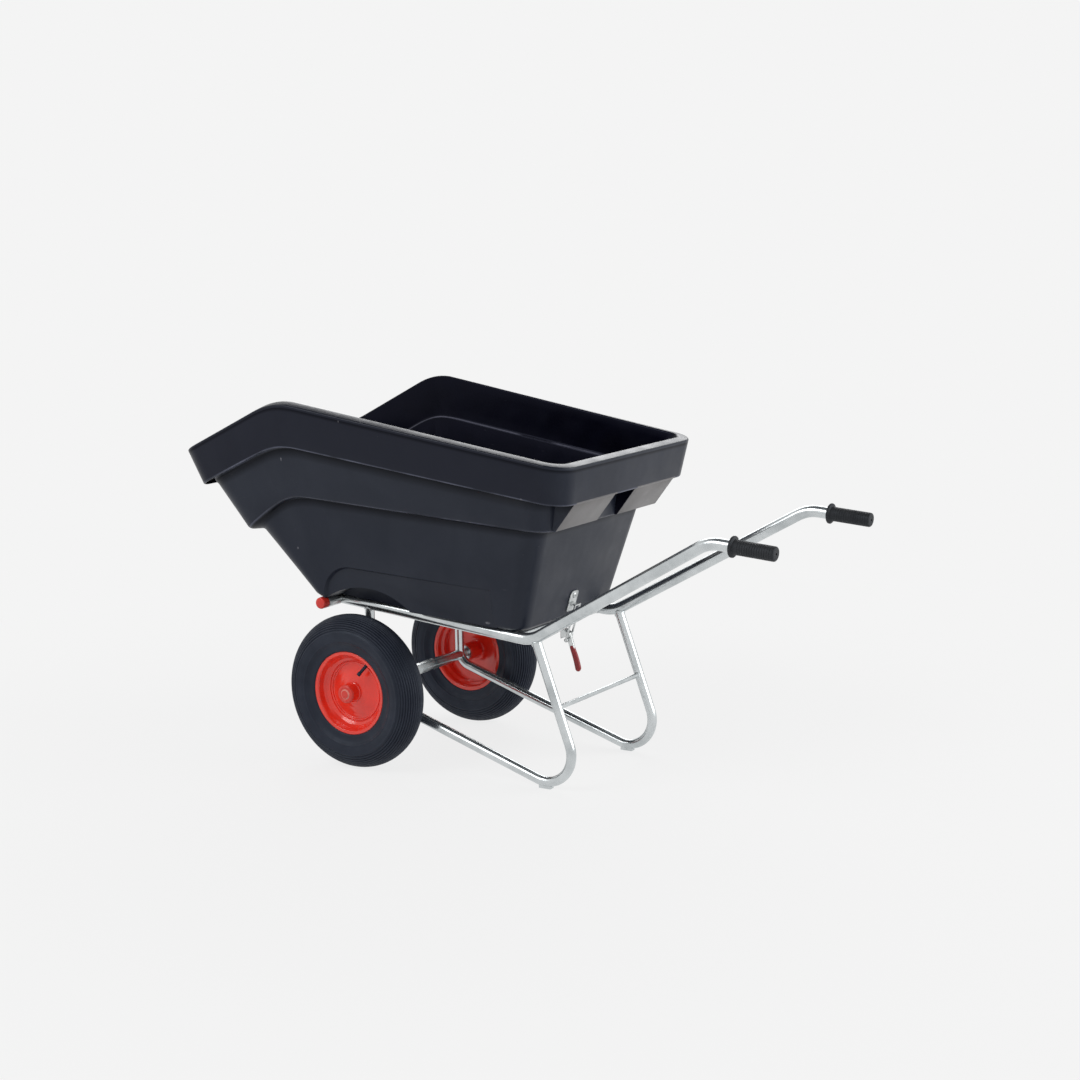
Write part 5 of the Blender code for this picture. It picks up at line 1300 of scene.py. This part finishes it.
@dataclass
class Tub:
    """The moulded tub: stepped shell with a skirted rim, wheel pockets, panels and lugs."""

    shop: Shop
    frame: TubeFrame
    wall: float = 0.005
    rim_width: float = 0.028
    rim_fall: float = 0.0085
    edge: float = 0.007
    floor_front_x: float = -0.106
    floor_rear_x: float = 0.468
    floor_front_half: float = 0.293
    floor_rear_half: float = 0.205
    floor_corners: Point = (0.035, 0.045)
    floor_soft: float = 0.004
    floor_peak_at: float = 0.060
    floor_blend: float = 0.020
    rail_gap: float = 0.0003
    heel_out: float = 0.010
    heel_rise: float = 0.009
    pocket: Point = (0.032, 0.280)
    pocket_wall_y: float = 0.2165
    panel_depth: float = 0.010
    panel_fading: float = 0.87
    draft: float = 0.008
    panel_ends: Point = (-0.074, 0.405)
    panel_fade: float = 0.100
    panel_tops: Point = (0.524, 0.497)
    panel_corner: float = 0.075
    same_point: float = 0.00025
    flat_angle: float = math.radians(0.3)
    edge_round: float = 0.0014
    lug_ys: Point = (0.047, 0.242)
    lug_outline: tuple[Point, ...] = ((0.5854, 0.655), (0.596, 0.655), (0.6543, 0.7296), (0.5934, 0.7296))

    def floor_height(self, x: float) -> float:
        """Height of the tub's underside, which rests on the rails."""
        rise = (self.frame.rail_radius + self.rail_gap) / math.cos(self.frame.rail_drop)
        return self.frame.rail_height(x) + rise

    def floor_line(self, out: float, rise: float, inset: float) -> Line:
        """A line parallel to the floor.

        Args:
            out: How far outside the floor's edge.
            rise: How far up.
            inset: How far in from there.

        Returns:
            The line.
        """
        front, rear = self.floor_front_x - out + inset, self.floor_rear_x + out - inset
        peak = front + self.floor_peak_at
        heights = [self.floor_height(x) + rise for x in (front, peak, rear)]
        halves = [half + out - inset for half in (self.floor_front_half, self.floor_rear_half)]
        corners = [corner - inset for corner in self.floor_corners]
        sizes = (front, *heights[:2], rear, heights[2], *halves, *corners, self.floor_soft)
        return Line(*sizes, peak_x=peak, blend=self.floor_blend)

    def lines(self) -> list[Line]:
        """Every line of the skin: up the outside, round the rim's skirt and down the inside."""
        wall, edge = self.wall, self.edge
        step_in = Line(-0.269, 0.604, 0.7065, 0.556, 0.650, 0.308, 0.258, 0.035, 0.055, edge)
        step_out = Line(-0.301, 0.6025, 0.7050, 0.590, 0.653, 0.328, 0.276, 0.035, 0.055, edge)
        skirt_wall = Line(-0.391, 0.715, 0.835, 0.598, 0.727, 0.343, 0.296, 0.045, 0.066, 0.0)
        skirt = Line(-0.426, 0.715, 0.8385, 0.656, 0.725, 0.361, 0.314, 0.045, 0.066, 0.0020)
        rim = Line(-0.469, 0.8105, 0.9565, 0.674, 0.828, 0.372, 0.330, 0.050, 0.068, 0.0035)
        return [
            self.floor_line(0.0, 0.0, 0.0),
            self.floor_line(self.heel_out, self.heel_rise, 0.0),
            step_in,
            step_out,
            skirt_wall,
            skirt_wall.inside(-0.005, 0.004, 0.0),
            rim.inside(self.rim_width - wall, -wall - 0.001, 0.0),
            rim.inside(wall, -wall - self.rim_fall, 0.0),
            skirt.inside(wall, 0.0, 0.0020),
            skirt,
            rim.inside(0.0, -self.rim_fall, 0.0040),
            rim.inside(self.rim_width, 0.0, 0.0055),
            skirt_wall.inside(wall - 0.005, wall + 0.004, 0.003),
            skirt_wall.inside(wall, wall, 0.003),
            step_out.inside(wall, wall, edge),
            step_in.inside(wall, wall, edge),
            self.floor_line(self.heel_out, self.heel_rise + wall, wall),
            self.floor_line(0.0, wall, wall),
        ]

    def skin(self) -> Piece:
        """The shell, extruded from line to line and then rounded along its edges."""
        lines = self.lines()
        rings, softs = [lines[0].outline()], [lines[0].soft]
        for low, high in zip(lines, lines[1:]):
            count = 4 if abs(high.rear_z - low.rear_z) > 0.05 else 1
            for k in range(1, count + 1):
                rings.append([a.lerp(b, k / count) for a, b in zip(low.outline(), high.outline())])
                softs.append(high.soft if k == count else 0.0)
        piece = loft("tub_shell", rings)
        for soft in sorted({value for value in softs if value}, reverse=True):
            rows = {row for row, value in enumerate(softs) if value == soft}
            with edit_mode(piece) as mesh:
                bpy.ops.mesh.select_mode(type="EDGE")
                layer = mesh.verts.layers.int["row"]
                for edge in mesh.edges:
                    first, second = (vert[layer] for vert in edge.verts)
                    edge.select = first == second and first in rows
                mesh.select_flush_mode()
                bmesh.update_edit_mesh(piece.data)
                bpy.ops.mesh.bevel(offset=soft, segments=4, profile=0.5, affect="EDGES", clamp_overlap=False)
                layer = mesh.verts.layers.int["row"]
                for vert in mesh.verts:
                    if vert.select:
                        vert[layer] = -1
        return piece

    def side_wall_y(self, x: float, z: float) -> float:
        """Half width of the lowest side wall, on its outer face."""
        heel, step = self.lines()[1:3]
        share = (z - heel.height(x)) / (step.height(x) - heel.height(x))
        return heel.half(x) + (step.half(x) - heel.half(x)) * share

    def panel_outline(self, grow: float, foot: float) -> list[Point]:
        """The side panel's outline, grown by a margin, with its foot over the floor."""
        front, rear = self.panel_ends[0] - grow, self.panel_ends[1] + grow
        top, corner = self.panel_tops[0] + grow, self.panel_corner + grow
        rounded = arc((front + corner, top - corner), corner, math.pi, math.pi / 2, 14)
        ends = (front, self.floor_height(front) + foot), (rear, self.floor_height(rear) + foot)
        return [ends[0], *rounded, (rear, self.panel_tops[1] + grow), ends[1]]

    def panel_y(self, x: float, z: float) -> float:
        """Half width at the side panel's face, which comes back out towards its rear end."""
        share = (x - self.panel_fade) / (self.panel_ends[1] - self.panel_fade)
        return self.side_wall_y(x, z) - self.panel_depth * (1 - self.panel_fading * min(1.0, max(0.0, share)))

    def pocket_outline(self, grow: float, foot: float) -> list[Point]:
        """The wheel pocket's outline: a round arch that stands on the floor line."""
        reach = self.pocket[0] - self.frame.pivot[0] - 0.003
        radius = math.hypot(reach, self.floor_height(self.pocket[0]) - self.pocket[1]) + grow
        rise = (self.floor_height(self.pocket[0]) + foot - self.pocket[1]) * math.cos(self.frame.rail_drop)
        turn = math.acos(rise / radius)
        top = math.pi / 2 - self.frame.rail_drop
        return arc(self.pocket, radius, top + turn, top - turn, 28)

    def carve(self, tub: Piece, side: Side) -> None:
        """The panel and the wheel pocket of one side: thick backings joined on, then recesses cut in.

        Args:
            tub: The shell.
            side: The side to work on.
        """
        wall, backing = self.wall, self.wall * 0.9
        beyond, below, clear = 0.012, -0.02, 0.0004
        panel, pocket = self.panel_outline, self.pocket_outline
        steps = [
            (
                "panel_backing",
                "UNION",
                panel(backing, wall / 2),
                panel(backing, wall / 2),
                lambda x, z: self.panel_y(x, z) - backing,
                lambda x, z: self.side_wall_y(x, z) - wall * 0.4,
            ),
            (
                "pocket_backing",
                "UNION",
                pocket(wall, wall / 2),
                pocket(wall, wall / 2),
                lambda x, z: self.pocket_wall_y - wall,
                lambda x, z: self.side_wall_y(x, z) - wall * 0.5,
            ),
            (
                "panel_cut",
                "DIFFERENCE",
                panel(-self.draft / 2, below),
                panel(self.draft, below),
                lambda x, z: self.panel_y(x, z) + clear * (x > self.panel_fade),
                lambda x, z: self.side_wall_y(x, z) + beyond,
            ),
            (
                "pocket_cut",
                "DIFFERENCE",
                pocket(0.0, below),
                pocket(self.draft / 3, below),
                lambda x, z: self.pocket_wall_y,
                lambda x, z: self.side_wall_y(x, z) + beyond,
            ),
        ]
        for name, operation, outline, mouth, near, far in steps:
            rings = [
                [Vector((x, side.value * reach(x, z), z)) for x, z in points]
                for points, reach in ((outline, near), (mouth, far))
            ]
            helper = loft(name, rings)
            with edit_mode(helper, "SELECT"):
                bpy.ops.mesh.quads_convert_to_tris()
            combine(tub, helper, operation)

    def build(self) -> None:
        """The whole tub, with its wedge lugs under the rear rim."""
        tub = self.skin()
        with edit_mode(tub, "SELECT"):
            bpy.ops.mesh.quads_convert_to_tris()
            bpy.ops.mesh.normals_make_consistent(inside=False)
        for side in Side:
            rings = [[Vector((x, side.value * y, z)) for x, z in self.lug_outline] for y in self.lug_ys]
            combine(tub, loft("rear_lug", rings), "UNION")
        for side in Side:
            self.carve(tub, side)
        with edit_mode(tub, "SELECT"):
            bpy.ops.mesh.remove_doubles(threshold=self.same_point)
            bpy.ops.mesh.dissolve_limited(angle_limit=self.flat_angle)
        bevel(tub, self.edge_round, 2, 38.0)
        self.shop.deliver(tub, "tub", Slot.TUB, ["tub"])
        self.line_inside(tub)

    def line_inside(self, tub: Piece) -> None:
        """Gives the tub's inner faces their darker material: painted shade for the occluded inside."""
        tub.data.materials.append(self.shop.lining)
        middle = (self.floor_front_x + self.floor_rear_x) / 2
        half_length, half_width, under = 0.5, 0.3, 0.012
        rim = self.lines()[-8]
        for face in tub.data.polygons:
            x, y, z = face.center.x - self.shop.axle_x, face.center.y, face.center.z
            inward = -(face.normal.x * (x - middle) / half_length + face.normal.y * y / half_width)
            under_rim = rim.height(x) - z > under
            if inward > 0.1 and face.normal.z > -0.3 or face.normal.z > 0.5 and under_rim:
                face.material_index = 1


# Hardware.


@dataclass
class Hardware:
    """Latch, hinges, fasteners, feet and wheel fittings."""

    shop: Shop
    tub: Tub
    seat: float = 0.0003
    keeper_half: float = 0.018
    keeper_thick: float = 0.003
    keeper_low: float = 0.012
    keeper_high: float = 0.068
    keeper_bolt_at: float = 0.056
    lip_at: float = 0.030
    lip_reach: float = 0.0082
    lip_half: float = 0.012
    hinge_bolts_at: Point = (0.014, 0.038)
    hinge_bolt_y: float = 0.2416
    flag_thick: float = 0.004
    shank_radius: float = 0.004
    head_radius: float = 0.0082
    head_height: float = 0.0040
    nut_radius: float = 0.0075
    nut_height: float = 0.0065
    slot_half: float = 0.0009
    slot_reach: float = 0.012
    slot_heights: Point = (0.0016, 0.006)
    latch_pivot: Point = (0.478817, 0.345)
    lever_angle: float = math.radians(-73)
    grip_ends: Point = (0.0300, 0.0980)
    grip_bow: float = 0.0022
    smooth_only: tuple[str, ...] = ("inner_tube", "bearing", "axle_shaft", "pin")

    def on_wall(self, rear: bool) -> Matrix:
        """A placement at the foot of the rear or front wall: X across, Y up the wall and Z out of it."""
        low, high = (line.end(rear) for line in self.tub.lines()[1:3])
        up = (high - low).normalized()
        out = Vector((up.z, 0, -up.x)) if rear else Vector((-up.z, 0, up.x))
        return Matrix.Translation(low) @ Matrix((up.cross(out), up, out)).transposed().to_4x4()

    @staticmethod
    def block(name: str, outline: Sequence[Point], low: float, high: float, place: Matrix) -> Piece:
        """A plate with an outline in a placement's X and Y, from one height along its Z to another."""
        return loft(name, [[place @ Vector((x, y, z)) for x, y in outline] for z in (low, high)])

    @staticmethod
    def box(half: float, low: float, high: float) -> list[Point]:
        """A rectangle's corners, for a width centred on 0."""
        return [(-half, low), (half, low), (half, high), (-half, high)]

    def build_keeper(self) -> None:
        """The latch's strike plate, with a rounded top and the lip that the hook pulls on."""
        place, thick = self.on_wall(True), self.keeper_thick
        corners = self.box(self.keeper_half, self.keeper_low, self.keeper_high)
        softs = (0.003, 0.003, 0.011, 0.011)
        outline = soft_loop([(*corner, soft) for corner, soft in zip(corners, softs)], 5)
        plate = self.block("latch_strike_plate", outline, self.seat, self.seat + thick, place)
        lip = self.box(self.lip_half, self.lip_at, self.lip_at + thick)
        combine(plate, self.block("strike_lip", lip, thick / 2, thick + self.lip_reach, place), "UNION")
        bevel(plate, 0.0006, 2, 35.0)
        self.shop.deliver(plate, "tub", Slot.ZINC, ["latch_keeper"])
        spot = place @ Matrix.Translation((0, self.keeper_bolt_at, 0))
        self.build_bolt("strike_bolt", spot, thick, "keeper_bolt")

    def build_bolt(self, name: str, place: Matrix, plate: float, node: str) -> None:
        """A slotted round-head bolt through the tub's wall, with its nut inside.

        Args:
            name: The bolt's name.
            place: Its placement, with Z out of the wall.
            plate: The thickness of the plate under its head.
            node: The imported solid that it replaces.
        """
        base = plate + 2 * self.seat
        out = (place.to_3x3() @ UP).normalized()
        nut = -self.tub.wall * (abs(out.x) + abs(out.z)) - self.seat
        turns = [k * math.pi / 16 for k in range(8)]
        profile = [(base + self.head_height * math.cos(t), self.head_radius * math.sin(t)) for t in turns]
        profile += [(base + 0.0004, self.head_radius), (base, self.head_radius - 0.0002)]
        profile += [(base, self.shank_radius), (nut, self.shank_radius)]
        profile += [(nut, self.nut_radius - 0.0003), (nut - 0.0004, self.nut_radius)]
        nut_end = nut - self.nut_height
        profile += [(nut_end + 0.0004, self.nut_radius), (nut_end, self.nut_radius - 0.0003), (nut_end, 0.0)]
        bolt = lathe(name, profile, place, 30)
        slot = self.box(self.slot_reach, -self.slot_half, self.slot_half)
        floor, top = (base + height for height in self.slot_heights)
        combine(bolt, self.block("driver_slot", slot, floor, top, place), "DIFFERENCE")
        self.shop.deliver(bolt, "tub", Slot.ZINC, [node], 35.0)

    def build_grip(self) -> None:
        """The lever's dipped plastic sleeve: bowed, and fuller towards its round end."""
        way = Vector((math.cos(self.lever_angle), 0, math.sin(self.lever_angle)))
        side = Vector((-way.z, 0, way.x))
        pivot = Vector((self.latch_pivot[0], 0, self.latch_pivot[1]))
        start, length = self.grip_ends[0], self.grip_ends[1] - self.grip_ends[0]
        count, points, end_from = 18, 24, 0.87
        turns = [2 * math.pi * j / points for j in range(points)]
        rings = []
        for k in range(count + 1):
            run = math.sin(k / count * math.pi / 2)
            full = math.sqrt(max(0.0, 1 - (max(0.0, run - end_from) / (1 - end_from)) ** 2))
            full *= min(1.0, 0.80 + run * 4)
            wide = max(0.0006, (0.0066 + 0.0017 * math.sin(run * 2.1)) * full)
            thick = max(0.0005, (0.0056 + 0.0012 * run) * full)
            along = start + length * run
            middle = pivot + way * along + side * self.grip_bow * (math.sin(run * math.pi) - 0.35)
            rings.append(
                [middle + side * math.cos(t) * wide + Vector((0, math.sin(t) * thick, 0)) for t in turns]
            )
        self.shop.deliver(loft("lever_sleeve", rings), "latch_lever", Slot.LEVER, ["latch_grip"], 60.0)

    def build_copy(self, node: str) -> None:
        """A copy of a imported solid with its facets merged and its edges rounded, which then stands for it."""
        source = self.shop.nodes[node]
        piece = bpy.data.objects.new(f"{node}_finished", source.data.copy())
        bpy.context.collection.objects.link(piece)
        with edit_mode(piece, "SELECT"):
            bpy.ops.mesh.remove_doubles(threshold=SAME_POINT)
            bpy.ops.mesh.dissolve_limited(angle_limit=math.radians(0.5))
        if "foot_pad" in node:
            bevel(piece, 0.0024, 4, 40.0)
        elif not any(word in node for word in self.smooth_only):
            bevel(piece, 0.0006, 2, 40.0)
        self.shop.deliver(piece, source["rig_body"], self.shop.slots[node], [node], 35.0, drawn=False)

    def build(self) -> None:
        """All of it. Whatever no other piece has replaced is copied and rounded."""
        self.build_keeper()
        self.build_grip()
        for side in Side:
            for label, at in zip(("lower", "upper"), self.hinge_bolts_at):
                spot = self.on_wall(False) @ Matrix.Translation((0, at, 0))
                spot = Matrix.Translation((0, side.value * self.hinge_bolt_y, 0)) @ spot
                name = f"hinge_bolt_{side.word}_{label}"
                self.build_bolt(f"{name}_slotted", spot, self.flag_thick, name)
        for node, item in self.shop.nodes.items():
            if not item.hide_render:
                self.build_copy(node)


# Studio.


@dataclass
class Studio:
    """Floor, world, lamps and camera. The camera is placed in the drawing frame."""

    axle_x: float
    pale: tuple[float, ...] = (0.905, 0.905, 0.905, 1.0)
    dim: tuple[float, ...] = (0.10, 0.11, 0.12, 1.0)
    floor_glow: float = 0.88
    fade: Point = (1.1, 2.6)
    ceiling: Point = (0.62, 0.86)
    air: float = 0.50
    camera_at: Triple = (3.3296, -4.5639, 1.5367)
    camera_way: Triple = (-0.5324, 0.8285, -0.1734)
    roll: float = -0.0186
    focal_pixels: float = 2168.4
    frame_pixels: float = 1080.0
    sensor: float = 36.0

    def add_floor(self) -> None:
        """A pale floor, which keeps the cart's shadow and shows its own colour to the camera."""
        bpy.ops.object.select_all(action="DESELECT")
        bpy.ops.mesh.primitive_plane_add(size=60.0, location=(0, 0, 0))
        floor = named("studio_floor")
        material = bpy.data.materials.new("pale_floor")
        material.use_nodes = True
        tree = material.node_tree
        tree.nodes.clear()
        place = add_node(tree, "TexCoord").outputs["Object"]
        length = add_node(tree, "VectorMath", {0: place}, operation="LENGTH").outputs["Value"]
        limits = {"From Min": self.fade[0], "From Max": self.fade[1], "Value": length}
        limits |= {"To Min": self.floor_glow, "To Max": 1.0}
        glow = add_node(tree, "MapRange", limits, interpolation_type="SMOOTHSTEP")
        share = add_node(tree, "Math", {0: self.seen(tree), 1: glow.outputs["Result"]}, operation="MULTIPLY")
        plain = add_node(tree, "BsdfDiffuse", {"Color": self.pale})
        shining = add_node(tree, "Emission", {"Color": self.pale})
        self.end_tree(tree, "OutputMaterial", share.outputs[0], plain, shining)
        floor.data.materials.append(material)

    def add_world(self) -> None:
        """A pale world for the camera, darker overhead for gloss, and a quieter one for diffuse light."""
        world = bpy.data.worlds.new("studio_air")
        bpy.context.scene.world = world
        world.use_nodes = True
        tree = world.node_tree
        tree.nodes.clear()
        place = add_node(tree, "TexCoord").outputs["Generated"]
        height = add_node(tree, "SeparateXYZ", {"Vector": place}).outputs["Z"]
        sky = add_node(tree, "ValToRGB", {"Fac": height})
        for element, position, colour in zip(sky.color_ramp.elements, self.ceiling, (self.pale, self.dim)):
            element.position = position
            element.color = colour
        quiet = add_node(tree, "Background", {"Color": self.pale, "Strength": self.air})
        seen = add_node(tree, "Background", {"Color": sky.outputs["Color"]})
        self.end_tree(tree, "OutputWorld", self.seen(tree), quiet, seen)

    @staticmethod
    def end_tree(
        tree: bpy.types.NodeTree, kind: str, share: Socket, first: bpy.types.Node, second: bpy.types.Node
    ) -> None:
        """Ends a tree with a mix of two shaders.

        Args:
            tree: The node tree.
            kind: The output node's type.
            share: The second shader's share.
            first: The first shader's node.
            second: The second shader's node.
        """
        mix = add_node(tree, "MixShader", {"Fac": share, 1: first.outputs[0], 2: second.outputs[0]})
        add_node(tree, kind, {"Surface": mix.outputs[0]})

    @staticmethod
    def seen(tree: bpy.types.NodeTree) -> Socket:
        """A share that is 1 for camera, glossy and transmission rays, and 0 for the rest."""
        path = add_node(tree, "LightPath").outputs
        total = path["Is Camera Ray"]
        for name in ("Is Glossy Ray", "Is Transmission Ray"):
            total = add_node(tree, "Math", {0: total, 1: path[name]}, operation="MAXIMUM").outputs[0]
        return total

    @staticmethod
    def add_lamp(name: str, at: Triple, size: Point, power: float) -> None:
        """A rectangular area lamp that faces the cart's middle.

        Args:
            name: The lamp's name.
            at: Its place.
            size: Its width and height.
            power: Its power in watts.
        """
        bpy.ops.object.select_all(action="DESELECT")
        bpy.ops.object.light_add(type="AREA", location=at)
        lamp = named(name)
        lamp.data.shape = "RECTANGLE"
        lamp.data.size, lamp.data.size_y = size
        lamp.data.energy = power
        lamp.rotation_euler = (Vector((0, 0, 0.5)) - Vector(at)).to_track_quat("-Z", "Y").to_euler()

    def add_camera(self) -> None:
        """The camera, at the photograph's place."""
        bpy.ops.object.camera_add(location=Vector(self.camera_at) + Vector((self.axle_x, 0, 0)))
        camera = named("front_left_camera")
        way = Vector(self.camera_way).normalized()
        right = way.cross(UP).normalized()
        up = right.cross(way)
        turned = right * math.cos(self.roll) + up * math.sin(self.roll)
        raised = up * math.cos(self.roll) - right * math.sin(self.roll)
        camera.rotation_euler = Matrix((turned, raised, -way)).transposed().to_euler()
        camera.data.sensor_width = self.sensor
        camera.data.sensor_fit = "HORIZONTAL"
        camera.data.lens = self.focal_pixels * self.sensor / self.frame_pixels
        camera.data.clip_end = 200.0
        bpy.context.scene.camera = camera

    def build(self) -> None:
        """The whole studio."""
        self.add_floor()
        self.add_world()
        self.add_lamp("key_lamp", (-1.9, -3.4, 3.9), (2.4, 2.4), 85.0)
        self.add_lamp("rear_lamp", (4.2, 1.3, 1.7), (3.2, 2.2), 105.0)
        self.add_lamp("back_lamp", (-2.0, 3.8, 3.0), (3.4, 2.2), 80.0)
        self.add_camera()
        bpy.context.scene.view_settings.view_transform = "Standard"


def clear_startup() -> None:
    """Removes what the startup scene holds."""
    for name in ("Cube", "Light", "Camera"):
        item = bpy.data.objects.get(name)
        if item:
            bpy.data.objects.remove(item, do_unlink=True)


def main() -> None:
    """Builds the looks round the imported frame."""
    logging.basicConfig(level=logging.INFO, format="%(message)s")
    clear_startup()
    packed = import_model()
    low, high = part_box("axle_tube")
    shop = Shop(packed, (low.x + high.x) / 2)
    frame = TubeFrame(shop)
    frame.build()
    Grips(shop, frame).build()
    for side in Side:
        Wheel(shop, side).build()
    tub = Tub(shop, frame)
    tub.build()
    Hardware(shop, tub).build()
    Studio(shop.axle_x).build()


if __name__ == "__main__":
    main()
